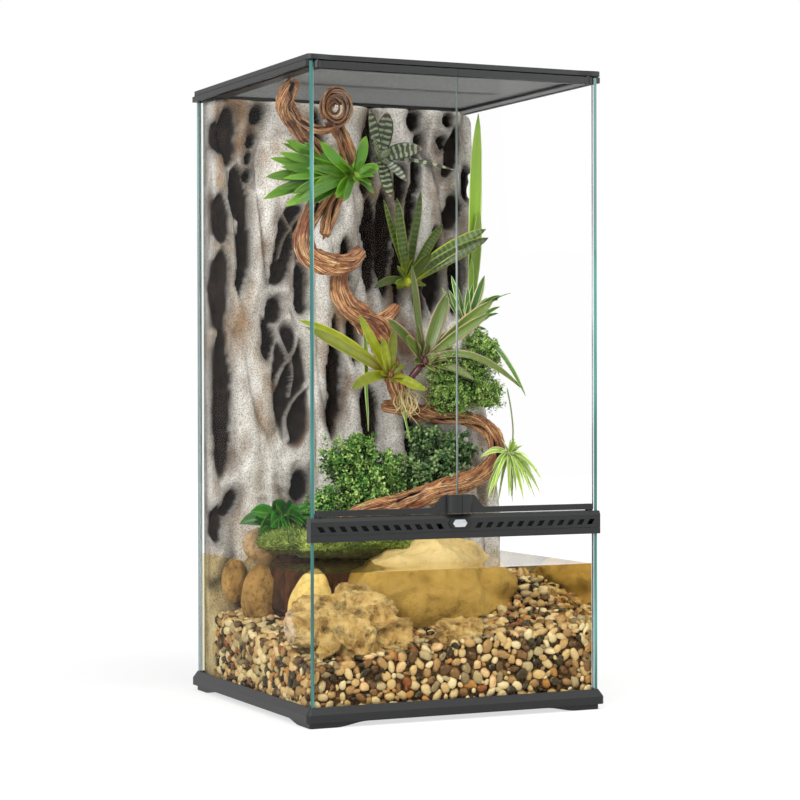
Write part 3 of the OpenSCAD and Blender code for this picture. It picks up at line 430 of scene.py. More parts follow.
@dataclass(frozen=True)
class TumbledPebbles(Finish):
    """River pebbles worn smooth and wet: each has a colour of its own, with faint veins."""

    colours: Stops = (
        (0.0, "#dccfbb"), (0.08, "#a98c6f"), (0.16, "#7d5f47"), (0.23, "#ece5da"), (0.31, "#c2a888"),
        (0.39, "#5c4434"), (0.46, "#cdb79b"), (0.53, "#2f2621"), (0.59, "#b9b0a2"), (0.66, "#b98a5a"),
        (0.7, "#8d8378"), (0.77, "#221c19"), (0.82, "#d9c5a6"), (0.88, "#e8cdb8"), (0.93, "#8c5238"),
        (0.96, "#f1ece4"),
    )

    def paint(self, tree: Tree) -> Node:
        """Builds a colour for each pebble from its tone, with veins and a wet shine.

        Args:
            tree: Takes the nodes.

        Returns:
            The shader.
        """
        tone = add(tree, "Attribute", attribute_name="tone").outputs["Fac"]
        colours = add(tree, "ValToRGB", {"Fac": tone}, stops=self.colours)
        colours.color_ramp.interpolation = "CONSTANT"
        veins = add(tree, "MapRange", {"Value": grain(tree, 4.5, 3, (1, 1, 1.8)), TO_LOW: 0.52, TO_HIGH: 1.04})
        shade = add(tree, "Mix", {MIX_SHARE: 1.0, MIX_A: colours, MIX_B: veins}, **MULTIPLIED)
        bump = add(tree, "Bump", {"Height": grain(tree, 1.6, 2), "Distance": 0.0003, "Strength": 0.5})
        return add(tree, "BsdfPrincipled", {"Base Color": shade, "Roughness": 0.3, "Normal": bump})


@dataclass(frozen=True)
class Earth(Finish):
    """Damp soil, bark and shadow between things: dark, crumbly and dull."""

    light: str = "#6a452c"
    dark: str = "#1d130d"
    size_mm: float = 14.0
    stretch: Point = (1, 1, 1)

    def paint(self, tree: Tree) -> Node:
        """Builds crumbly brown with deep bump.

        Args:
            tree: Takes the nodes.

        Returns:
            The shader.
        """
        lumps = grain(tree, self.size_mm, 5, self.stretch)
        shade = add(tree, "ValToRGB", {"Fac": lumps}, stops=((0.35, self.dark), (0.7, self.light)))
        bump = add(tree, "Bump", {"Height": lumps, "Distance": 0.004, "Strength": 0.9})
        return add(tree, "BsdfPrincipled", {"Base Color": shade, "Roughness": 0.85, "Normal": bump})


@dataclass(frozen=True)
class VineBark(Finish):
    """Twisted vine without its outer bark: red-brown fibres, pale worn crests and near-black painted shade where the
    cords meet.
    """

    fibres: Stops = ((0.36, "#241108"), (0.44, "#74401f"), (0.5, "#a86a3a"), (0.55, "#d5a66c"), (0.63, "#f6e4bd"))
    patches: Stops = ((0.38, "#a96a42"), (0.52, "#fffaf0"), (0.66, "#e0b98c"))

    def paint(self, tree: Tree) -> Node:
        """Builds long fibres along the stem's own map, with painted shade where the cords meet.

        Args:
            tree: Takes the nodes.

        Returns:
            The shader.
        """
        around = add(tree, "SeparateXYZ", {0: add(tree, "UVMap", uv_map="UVMap")}).outputs
        run = add(tree, "Attribute", attribute_name="along").outputs["Fac"]
        # one fibre is about 1.5 mm wide and 60 mm long: nine to a turn of the stem, so 540 mm before the scale
        along = add(tree, "Math", {0: run, 1: 1 / 540}, operation="MULTIPLY")
        turned = add(tree, "CombineXYZ", {0: around[0], 1: around[1], 2: along})
        fibres = add(tree, "TexNoise", {"Vector": turned, "Scale": 9.0, "Detail": 5, "Roughness": 0.65})
        colour = add(tree, "ValToRGB", {"Fac": fibres}, stops=self.fibres)
        patch = add(tree, "ValToRGB", {"Fac": grain(tree, 38, 3)}, stops=self.patches)
        mixed = add(tree, "Mix", {MIX_SHARE: 0.8, MIX_A: colour, MIX_B: patch}, **MULTIPLIED)
        # painted shade: near-black on each cord's side that faces the stem's middle, and between its lobes
        groove = add(tree, "Attribute", attribute_name="groove").outputs["Fac"]
        shade = add(tree, "Mix", {MIX_SHARE: groove, MIX_A: mixed, MIX_B: "#1e0c06"}, **LAID_OVER)
        bump = add(tree, "Bump", {"Height": fibres, "Distance": 0.0028, "Strength": 1.0})
        return add(tree, "BsdfPrincipled", {"Base Color": shade, "Roughness": 0.72, "Normal": bump})


@dataclass(frozen=True)
class LeafBlade(Finish):
    """Waxy strap leaf: colour runs from its foot to its tip, paler or darker at its margin and midrib."""

    foot: str
    blade: str
    tip: str
    margin: str
    margin_from: float = 0.8
    band: str = "#4f9a2e"
    band_share: float = 0.0
    band_count: float = 9.0
    rib: str = "#6fb04a"
    gloss: float = 0.34

    def paint(self, tree: Tree) -> Node:
        """Builds the blade's colours on its own map: U across from edge to edge, V from foot to tip.

        Args:
            tree: Takes the nodes.

        Returns:
            The shader.
        """
        across, along = add(tree, "SeparateXYZ", {0: add(tree, "UVMap", uv_map="UVMap")}).outputs[:2]
        off = add(tree, "Math", {0: across, 1: 0.5}, operation="SUBTRACT")
        wide = add(tree, "Math", {0: off}, operation="ABSOLUTE")
        share = add(tree, "Math", {0: wide, 1: 2.0}, operation="MULTIPLY")
        tones = ((0.0, self.foot), (0.28, self.blade), (0.75, self.blade), (1.0, self.tip))
        run = add(tree, "ValToRGB", {"Fac": along}, stops=tones)
        lines = add(tree, "Math", {0: along, 1: self.band_count * math.tau}, operation="MULTIPLY")
        waver = add(tree, "Math", {0: grain(tree, 9, 2), 1: 5.0, 2: lines}, operation="MULTIPLY_ADD")
        wave = add(tree, "Math", {0: waver}, operation="SINE")
        barred = add(
            tree, "MapRange", {"Value": wave, FROM_LOW: -0.1, FROM_HIGH: 0.5, TO_LOW: 0.0, TO_HIGH: self.band_share}
        )
        banded = add(tree, "Mix", {MIX_SHARE: barred, MIX_A: run, MIX_B: self.band}, **LAID_OVER)
        rim = {FROM_LOW: self.margin_from, FROM_HIGH: self.margin_from + 0.12}
        at_edge = add(tree, "MapRange", {"Value": share, **rim})
        edged = add(tree, "Mix", {MIX_SHARE: at_edge, MIX_A: banded, MIX_B: self.margin}, **LAID_OVER)
        at_rib = add(tree, "MapRange", {"Value": share, FROM_LOW: 0.02, FROM_HIGH: 0.14, TO_LOW: 0.55, TO_HIGH: 0.0})
        ribbed = add(tree, "Mix", {MIX_SHARE: at_rib, MIX_A: edged, MIX_B: self.rib}, **LAID_OVER)
        tone = add(tree, "Attribute", attribute_name="tone").outputs["Fac"]
        level = add(tree, "MapRange", {"Value": tone, TO_LOW: 0.58, TO_HIGH: 1.25})
        tinted = add(tree, "HueSaturation", {"Color": ribbed, "Value": level, "Saturation": 1.12})
        veins = add(tree, "Math", {0: across, 1: 60.0}, operation="MULTIPLY")
        lined = add(tree, "Math", {0: veins}, operation="SINE")
        bump = add(tree, "Bump", {"Height": lined, "Distance": 0.0002, "Strength": 0.35})
        front = add(tree, "BsdfPrincipled", {"Base Color": tinted, "Roughness": self.gloss, "Normal": bump})
        glow = add(tree, "BsdfTranslucent", {"Color": tinted})
        return add(tree, "MixShader", {0: 0.16, 1: front, 2: glow})


@dataclass(frozen=True)
class SmallLeaves(Finish):
    """Many small leaves: each has its own tone, dull below and lightly waxy above."""

    dark: str = "#1f4a1c"
    middle: str = "#3f8a2c"
    light: str = "#9ccb5a"

    def paint(self, tree: Tree) -> Node:
        """Builds leaf colour from each leaf's tone, with light coming through it.

        Args:
            tree: Takes the nodes.

        Returns:
            The shader.
        """
        tone = add(tree, "Attribute", attribute_name="tone").outputs["Fac"]
        tones = ((0.0, self.dark), (0.5, self.middle), (1.0, self.light))
        shade = add(tree, "ValToRGB", {"Fac": tone}, stops=tones)
        front = add(tree, "BsdfPrincipled", {"Base Color": shade, "Roughness": 0.45})
        return add(tree, "MixShader", {0: 0.3, 1: front, 2: add(tree, "BsdfTranslucent", {"Color": shade})})


@dataclass(frozen=True)
class StudioWhite(Finish):
    """Seamless white paper under and behind the tank, which keeps the tank's shadow."""

    def paint(self, tree: Tree) -> Node:
        """Builds white paper that the camera and reflections see as nearly pure white.

        Args:
            tree: Takes the nodes.

        Returns:
            The shader.
        """
        direct = seen_directly(tree)
        faint = add(tree, "MapRange", {"Value": grain(tree, 400, 1), TO_LOW: 0.97, TO_HIGH: 1.0})
        # seen directly the paper takes little of the lamps' light, so that it isn't far brighter than white
        taken = add(tree, "MapRange", {"Value": direct, TO_LOW: 1.0, TO_HIGH: 0.3})
        shade = add(tree, "Math", {0: faint, 1: taken}, operation="MULTIPLY")
        paper = add(tree, "BsdfDiffuse", {"Color": shade})
        away = add(tree, "VectorMath", {0: add(tree, "TexCoord").outputs["Object"]}, operation="LENGTH")
        reach = {FROM_LOW: 0.6, FROM_HIGH: 3.0, TO_LOW: 0.68, TO_HIGH: 0.92}
        lift = add(tree, "MapRange", {"Value": away.outputs["Value"], **reach})
        light = add(tree, "Math", {0: direct, 1: lift}, operation="MULTIPLY")
        glow = add(tree, "Emission", {"Color": "#ffffff", "Strength": light})
        return add(tree, "AddShader", {0: paper, 1: glow})


# ---------------------------------------------------------------- shapes in code


def ramp(low: float, high: float, value: Array | float) -> Array:
    """Smooth rise from 0 at low to 1 at high."""
    share = np.clip((np.asarray(value, float) - low) / (high - low), 0, 1)
    return share * share * (3 - 2 * share)


def lattice(points: Array, cell: float, seed: int = 0) -> Array:
    """Smooth, repeatable unevenness.

    Args:
        points: Places, one row each.
        cell: Distance over which the values change.
        seed: Picks one field among many.

    Returns:
        A value from -1 to 1 for each place.
    """
    scaled = np.asarray(points, float) / cell
    base = np.floor(scaled).astype(np.int64)
    part = scaled - base
    part = part * part * (3 - 2 * part)
    total = np.zeros(len(scaled))
    for corner in np.ndindex(2, 2, 2):
        c = base + np.array(corner)
        mix = c[:, 0] * 73856093 ^ c[:, 1] * 19349663 ^ c[:, 2] * 83492791 ^ (seed + 1) * 40503
        mix = ((mix ^ (mix >> 13)) * 1274126177) & 0x7FFFFFFF
        mix = ((mix ^ (mix >> 15)) * 73244475) & 0x7FFFFFFF
        weight = np.where(np.array(corner) == 1, part, 1 - part).prod(axis=1)
        total += weight * (mix / 0x3FFFFFFF - 1)
    return total


def uneven(points: Array, cell: float, layers: int = 3, seed: int = 0) -> Array:
    """Adds finer and finer layers of the lattice field, each half as strong."""
    return sum(lattice(points, cell / 2**k, seed + 17 * k) / 2**k for k in range(layers))


def smooth_path(points: Sequence[Place], steps: int) -> Array:
    """Runs a smooth curve through points.

    Args:
        points: The points, with three or more values each.
        steps: Number of places from one point to the next.

    Returns:
        The curve's places, one row each.
    """
    p = np.asarray(points, float)
    padded = np.vstack((2 * p[0] - p[1], p, 2 * p[-1] - p[-2]))
    t = np.linspace(0, 1, steps, endpoint=False)[:, None]
    out = []
    for a, b, c, d in zip(padded, padded[1:], padded[2:], padded[3:]):
        cubic = (2 * b + (c - a) * t + (2 * a - 5 * b + 4 * c - d) * t**2 + (3 * b - a - 3 * c + d) * t**3)
        out.append(0.5 * cubic)
    return np.vstack(out + [p[-1:]])


def unit(v: Array) -> Array:
    """Scales vectors to length 1."""
    return v / np.maximum(np.linalg.norm(v, axis=-1, keepdims=True), 1e-9)


def carried_frames(path: Array) -> tuple[Array, Array, Array]:
    """Frames that follow a path without twisting.

    Args:
        path: Points of the path.

    Returns:
        The directions ahead, to the side and up at each point.
    """
    ahead = unit(np.gradient(path, axis=0))
    side = np.zeros_like(ahead)
    first = np.cross(ahead[0], (0.1, 1.0, 0.15))
    side[0] = first / np.linalg.norm(first)
    for i in range(1, len(path)):
        moved = side[i - 1] - ahead[i] * np.dot(side[i - 1], ahead[i])
        side[i] = moved / np.linalg.norm(moved)
    return ahead, side, np.cross(side, ahead)


@dataclass
class Shell:
    """Corners and faces gathered before they become a piece."""

    corners: list[Array] = field(default_factory=list)
    faces: list[tuple[int, ...]] = field(default_factory=list)
    maps: list[Array] = field(default_factory=list)
    values: dict[str, list[Array]] = field(default_factory=dict)
    count: int = 0

    def put(self, corners: Array, faces: Array, mapped: Array | None = None, **values: Array | float) -> None:
        """Adds one body.

        Args:
            corners: Its corners in metres.
            faces: Its faces, which count from the first of these corners.
            mapped: Places of the corners on the piece's flat map.
            **values: What each corner carries, by name.
        """
        self.corners.append(np.asarray(corners, float))
        self.faces.extend(map(tuple, (np.asarray(faces) + self.count).tolist()))
        size = len(corners)
        self.maps.append(np.zeros((size, 2)) if mapped is None else mapped)
        for name, value in values.items():
            self.values.setdefault(name, []).append(np.broadcast_to(np.asarray(value, float), size))
        self.count += size

    def tube(self, rings: Array, mapped: Array, **values: Array | float) -> None:
        """Adds a tube that is closed at both ends.

        Args:
            rings: Rings of corners in millimetres, from the tube's start to its end.
            mapped: Places of the corners on the piece's flat map.
            **values: What each corner carries, by name.
        """
        rows, sides = rings.shape[:2]
        k, i = np.meshgrid(np.arange(sides), np.arange(rows - 1))
        after = (k + 1) % sides
        a, b = i * sides, (i + 1) * sides
        quads = np.stack((a + k, a + after, b + after, b + k), -1).reshape(-1, 4)
        first, last = self.count, self.count + (rows - 1) * sides
        self.put(rings.reshape(-1, 3) * MM, quads, mapped, **values)
        self.faces.append(tuple(range(first, first + sides))[::-1])
        self.faces.append(tuple(range(last, last + sides)))

    def link(self, name: str) -> Piece:
        """Makes one object of all that was put in, with its map and the values that its corners carry.

        Args:
            name: Name of the piece.

        Returns:
            The object, at the origin of the scene.
        """
        mesh = bpy.data.meshes.new(name)
        mesh.from_pydata(np.vstack(self.corners).tolist(), [], self.faces)
        order = np.zeros(len(mesh.loops), np.int32)
        mesh.loops.foreach_get("vertex_index", order)
        layer = mesh.uv_layers.new(name="UVMap")
        layer.uv.foreach_set("vector", np.vstack(self.maps)[order].astype(np.float32).ravel())
        made = bpy.data.objects.new(name, mesh)
        for key, parts in self.values.items():
            carry(made, key, np.concatenate(parts))
        mesh.shade_smooth()
        mesh.update()
        bpy.context.scene.collection.objects.link(made)
        return made


class Body(Enum):
    """The moving groups that pieces ride on."""

    TANK = "tank"
    SCREEN_COVER = "screen_cover"


def dress(obj: Piece, finish: Finish) -> None:
    """Gives an object one finish in place of what it had."""
    obj.data.materials.clear()
    obj.data.materials.append(finish.material())


def settle(obj: Piece, finish: Finish, slot: str, *stands_for: str, body: Body = Body.TANK) -> None:
    """Finishes a piece.

    Args:
        obj: The piece.
        finish: Its surface.
        slot: Not used.
        *stands_for: Nodes that it stands for.
        body: What it rides on.
    """
    dress(obj, finish)
    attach(obj, body.value)
    if stands_for:
        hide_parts(*stands_for)
    LOG.info("%s: %d faces", obj.name, len(obj.data.polygons))


def alone(obj: Piece) -> None:
    """Makes an object the only one that operators act on.

    Args:
        obj: The object.
    """
    bpy.ops.object.select_all(action="DESELECT")
    obj.select_set(True)
    bpy.context.view_layer.objects.active = obj


def edit(obj: Piece, *steps: tuple[str, dict[str, Any]]) -> None:
    """Runs mesh operators on one object in edit mode.

    Args:
        obj: The object.
        *steps: Names of the operators, each with its settings.
    """
    alone(obj)
    bpy.ops.object.mode_set(mode="EDIT")
    for name, settings in steps:
        getattr(bpy.ops.mesh, name)(**settings)
    bpy.ops.object.mode_set(mode="OBJECT")


ALL = ("select_all", {"action": "SELECT"})
NONE = ("select_all", {"action": "DESELECT"})
OUTWARDS = ("normals_make_consistent", {"inside": False})


def close_sheet(obj: Piece, axis: int, level: float, step: float) -> Array:
    """Pulls the rim of an open sheet to a level and closes it there.

    Args:
        obj: The sheet.
        axis: 0, 1 or 2 for the axis that the rim is pulled along.
        level: Where the closing face lies.
        step: The rim's first small move, towards the level.

    Returns:
        The places of all corners, those of the sheet first.
    """
    count = len(obj.data.vertices)
    way = [step if k == axis else 0.0 for k in range(3)]
    edit(obj, ALL, ("region_to_loop", {}), ("extrude_edges_move", {"TRANSFORM_OT_translate": {"value": way}}))
    places = corners_of(obj)
    places[count:, axis] = level
    move_corners(obj, places)
    fill = (("select_mode", {"type": "EDGE"}), ("select_non_manifold", {}), ("edge_face_add", {}))
    edit(obj, NONE, *fill, ALL, OUTWARDS)
    return places


def primitive(kind: str, name: str, **settings: Any) -> Piece:
    """Adds one of Blender's primitives by its operator, with nothing else selected.

    Args:
        kind: The primitive, as its operator names it.
        name: Name of the piece.
        **settings: The operator's settings.

    Returns:
        The new object.
    """
    if bpy.context.view_layer.objects.active is not None:
        bpy.ops.object.select_all(action="DESELECT")
    getattr(bpy.ops.mesh, f"primitive_{kind}_add")(**settings)
    made = bpy.context.view_layer.objects.active
    made.name = made.data.name = name
    return made


def take_ball(ball: Piece) -> tuple[Array, Array]:
    """Reads a ball's corners and triangles and takes it out of the scene.

    Args:
        ball: The object.

    Returns:
        Its corners and its faces, one row each.
    """
    corners, faces = corners_of(ball), np.array([tuple(p.vertices) for p in ball.data.polygons])
    bpy.data.objects.remove(ball)
    return corners, faces


def corners_of(obj: Piece) -> Array:
    """Reads an object's corners.

    Args:
        obj: The object.

    Returns:
        Rows of X, Y and Z.
    """
    out = np.zeros(len(obj.data.vertices) * 3)
    obj.data.vertices.foreach_get("co", out)
    return out.reshape(-1, 3)


def move_corners(obj: Piece, places: Array) -> None:
    """Moves an object's corners and puts the object itself at the origin.

    Args:
        obj: The object.
        places: New places of its corners.
    """
    obj.location, obj.rotation_euler, obj.scale = (0, 0, 0), (0, 0, 0), (1, 1, 1)
    obj.data.vertices.foreach_set("co", np.asarray(places, np.float64).ravel())
    obj.data.update()


def carry(obj: Piece, name: str, values: Array) -> None:
    """Stores one value per corner under a name that a material can read."""
    obj.data.attributes.new(name, "FLOAT", "POINT").data.foreach_set("value", values.astype(np.float32))


# ---------------------------------------------------------------- the tank and its light


@dataclass
class Tank:
    """Inside of the glass box, read from the frame, and the layout that its contents are placed by."""

    laid_half_width: float = 220.0
    laid_back: float = 220.0
    laid_top: float = 905.0

    def __post_init__(self) -> None:
        """Reads the inner faces of the panes from the frame."""
        self.inner_x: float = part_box("right_pane")[0].x
        self.back_y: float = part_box("back_pane")[0].y
        self.front_y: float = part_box("front_pane")[1].y
        self.floor_z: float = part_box("bottom_pane")[1].z
        self.top_z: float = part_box("top_frame")[0].z

    def at(self, points: Sequence[Place] | Place | Array) -> Array:
        """Turns laid-out places into places in the frame.

        Args:
            points: Places in millimetres. What follows X, Y and Z is left out.

        Returns:
            Places in metres.
        """
        p = np.asarray(points, float)
        out = np.array(p[..., :3])
        out[..., 0] = p[..., 0] * self.inner_x / self.laid_half_width
        out[..., 1] = p[..., 1] * self.back_y / self.laid_back
        out[..., 2] = p[..., 2] * self.top_z / self.laid_top
        return out


@dataclass
class Studio:
    """Camera, paper floor and soft lamps."""

    place: Point = (-1.43531, -3.12344, 0.47479)
    yaw: float = 24.9053
    pitch: float = -0.4509
    roll: float = -0.1162
    lens: float = 103.356
    sensor: float = 36.0
    sky_light: float = 0.45

    def camera(self) -> None:
        """Sets the camera where the picture was taken from."""
        yaw, pitch, roll = (math.radians(v) for v in (self.yaw, self.pitch, self.roll))
        ahead = Vector((math.sin(yaw) * math.cos(pitch), math.cos(yaw) * math.cos(pitch), math.sin(pitch)))
        level = Vector((math.cos(yaw), -math.sin(yaw), 0))
        above = level.cross(ahead)
        right = math.cos(roll) * level + math.sin(roll) * above
        up = -math.sin(roll) * level + math.cos(roll) * above
        data = bpy.data.cameras.new("camera")
        data.lens, data.sensor_width = self.lens, self.sensor
        data.clip_start, data.clip_end = 0.05, 100
        made = bpy.data.objects.new("camera", data)
        turn = Matrix((right, up, -ahead)).transposed().to_4x4()
        made.matrix_world = Matrix.Translation(self.place) @ turn
        bpy.context.scene.collection.objects.link(made)
        bpy.context.scene.camera = made
        bpy.context.scene.view_settings.view_transform = "Standard"

    def lamp(self, name: str, place: Place, aim: Place, size: float, watts: float) -> None:
        """Hangs one square soft lamp and aims it.

        Args:
            name: Its name.
            place: Where it hangs.
            aim: What it shines at.
            size: Length of its sides.
            watts: Its power.
        """
        data = bpy.data.lights.new(name, "AREA")
        data.shape, data.size, data.energy = "SQUARE", size, watts
        made = bpy.data.objects.new(name, data)
        made.location = place
        made.rotation_euler = (Vector(aim) - Vector(place)).to_track_quat("-Z", "Y").to_euler()
        bpy.context.scene.collection.objects.link(made)

    def light(self) -> None:
        """Sets the white surroundings and three soft lamps."""
        world = bpy.data.worlds.new("surroundings")
        world.use_nodes = True
        tree = world.node_tree
        tree.nodes.clear()
        level = add(tree, "MapRange", {"Value": seen_directly(tree), TO_LOW: self.sky_light, TO_HIGH: 1.0})
        sky = add(tree, "Background", {"Color": "#ffffff", "Strength": level})
        add(tree, "OutputWorld", {"Surface": sky})
        bpy.context.scene.world = world
        self.lamp("key_softbox", (-2.1, -1.9, 1.8), (0, 0, 0.45), 1.3, 92)
        self.lamp("fill_softbox", (1.9, -2.3, 1.5), (0, 0, 0.55), 1.4, 24)
        self.lamp("top_softbox", (0.1, -0.5, 2.4), (0, 0, 0.5), 1.0, 38)

    def floor(self) -> None:
        """Lays the paper floor, which is no part of the tank."""
        paper = primitive("plane", "paper_floor", size=14, location=(0, 0, 0))
        thicken = ("extrude_region_move", {"TRANSFORM_OT_translate": {"value": (0, 0, -0.01)}})
        edit(paper, ALL, thicken, ALL, OUTWARDS)
        top = corners_of(paper)
        move_corners(paper, top - np.array((0, 0, top[:, 2].max() + 0.0002)))
        dress(paper, StudioWhite("white_paper"))


@dataclass
class ShellDressing:
    """Finishes of the pieces that the frame already shapes."""

    plastic: Finish = MouldedPlastic("black_moulded_abs")
    locks: Finish = MouldedPlastic("grey_moulded_abs", colour="#1c1d1e", roughness=0.48)
    bezel: Finish = MouldedPlastic("gloss_black_abs", colour="#101011", roughness=0.16)
    polished: Stops = ((0.3, "#46514f"), (0.5, "#7d8a87"), (0.72, "#c3ccca"))

    def finish(self, nodes: dict[str, Piece]) -> None:
        """Dresses every node of the shell.

        Args:
            nodes: The frame's nodes by name.
        """
        sides = ("left", "right")
        rails = [f"{side}_door_{part}_rail" for side in sides for part in ("bottom", "top")]
        groups: dict[Finish, list[str]] = {
            self.plastic: ["base_frame", "vent_rail", "top_frame", "screen_frame", "screen_stiffener", *rails],
            self.locks: [f"{kind}_{side}" for kind in ("screen_lock", "cable_inlet_slider") for side in sides],
            self.bezel: ["badge_bezel"],
            SatinLabel("satin_silver_lacquer"): ["badge_plate"],
            FloatGlass("float_glass_sides", across=Across.X): ["left_pane", "right_pane"],
            FloatGlass("float_glass_front_and_back"): ["front_pane", "back_pane"],
            FloatGlass("polished_glass_doors", edges=self.polished): ["left_door_pane", "right_door_pane"],
            FloatGlass("float_glass_bottom", across=Across.Z): ["bottom_pane"],
            Silicone("clear_silicone"): ["pane_sealant"],
            PowderCoatedWire("dark_wire_cloth", colour="#2a2a2a"): ["vent_screen"],
            BrushedSteel("turned_steel"): ["left_hinge_pins", "right_hinge_pins"],
        }
        for surface, names in groups.items():
            for name in names:
                dress(nodes[name], surface)
        LOG.info("shell: %d nodes dressed", sum(map(len, groups.values())))


@dataclass
class WireCloth:
    """Woven wire of the screen cover."""

    pitch: float = 3.0  # real cloth is nearer 1.4 mm, drawn at the finest pitch that still shows
    wire: float = 0.3  # half the thickness of a wire
    weave: float = 0.6  # how far the two layers lie apart, as a share of that

    def build(self) -> None:
        """Models one wire each way, repeats it and joins the two layers."""
        low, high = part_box("screen_mesh")
        middle = (low + high) / 2
        half = self.wire * MM
        layers = []
        for name, long_axis in (("wires_across", 0), ("wires_deep", 1)):
            length, span = (high - low)[long_axis], (high - low)[1 - long_axis]
            turn = (0, math.pi / 2, 0) if long_axis == 0 else (math.pi / 2, 0, 0)
            wire = primitive("cylinder", name, vertices=5, radius=half, depth=length, rotation=turn)
            bpy.ops.object.transform_apply(rotation=True)
            count = int(span / (self.pitch * MM))
            step = [0.0, 0.0, 0.0]
            step[1 - long_axis] = (span - 2 * half) / (count - 1)
            start = Vector(middle)
            start[1 - long_axis] = low[1 - long_axis] + half
            start.z = middle.z + (-self.weave if long_axis == 0 else self.weave) * half
            move_corners(wire, corners_of(wire) + np.array(start))
            alone(wire)
            row = wire.modifiers.new("Array", "ARRAY")
            row.count, row.use_relative_offset, row.use_constant_offset = count, False, True
            row.constant_offset_displace = step
            bpy.ops.object.modifier_apply(modifier=row.name)
            layers.append(wire)
        cloth, other = layers
        alone(cloth)
        other.select_set(True)
        bpy.ops.object.join()
        cloth.name = cloth.data.name = "woven_wire_cloth"
        settle(cloth, PowderCoatedWire("grey_wire_cloth"), "vent_mesh", "screen_mesh", body=Body.SCREEN_COVER)


# ---------------------------------------------------------------- the background


# Long hollows of the relief: x, z, half width, half height and lean
HOLLOWS: tuple[tuple[float, float, float, float, float], ...] = (
    (-212, 847, 6, 27, 0.0), (-197, 848, 11, 46, 0.0), (-154, 882, 11, 15, 0.2), (-161, 842, 7, 11, 0.0),
    (-163, 815, 5, 10, 0.0), (-165, 788, 5, 10, 0.0), (-182, 762, 13, 42, -0.05), (-175, 684, 8, 79, 0.04),
    (-209, 723, 11, 40, 0.0), (-209, 612, 13, 66, 0.0), (-208, 448, 12, 125, 0.0), (-94, 702, 24, 48, 0.1),
    (-114, 655, 13, 33, 0.2), (-121, 584, 12, 20, 0.1), (-81, 617, 11, 40, -0.1), (-134, 540, 10, 34, 0.1),
    (-98, 470, 27, 96, -0.04), (-208, 257, 8, 30, 0.0), (-192, 289, 8, 22, 0.2), (-86, 313, 13, 24, 0.0),
    (35, 830, 10, 70, 0.05), (116, 885, 10, 16, 0.0), (124, 850, 6, 15, 0.1), (116, 803, 9, 34, 0.0),
    (106, 738, 8, 48, 0.05), (87, 785, 9, 33, 0.0), (180, 838, 12, 42, 0.25), (174, 888, 9, 11, 0.0),
    (163, 852, 6, 12, 0.0), (181, 744, 14, 29, 0.1), (207, 789, 10, 28, 0.0), (38, 689, 10, 78, 0.0),
    (60, 690, 12, 86, -0.03), (86, 667, 8, 79, 0.0), (-29, 481, 9, 94, 0.05), (86, 394, 10, 64, 0.0),
    (25, 423, 14, 49, 0.0), (-30, 770, 9, 60, 0.0), (-6, 640, 10, 60, 0.05), (-52, 860, 8, 34, -0.1),
    (5, 560, 8, 60, 0.0), (150, 650, 11, 70, 0.05), (190, 640, 9, 60, 0.0), (126, 620, 8, 50, 0.0),
)

# Thin roots that cross the two large hollows, as lines of x and z
ROOTS: tuple[tuple[tuple[float, float], ...], ...] = (
    ((-120, 742), (-100, 716), (-88, 690), (-94, 652)),
    ((-70, 740), (-90, 718), (-108, 690), (-116, 664)),
    ((-126, 560), (-106, 524), (-94, 492), (-100, 452)),
    ((-74, 556), (-92, 520), (-112, 492), (-122, 462)),
    ((-70, 470), (-92, 448), (-106, 420), (-104, 386)),
)


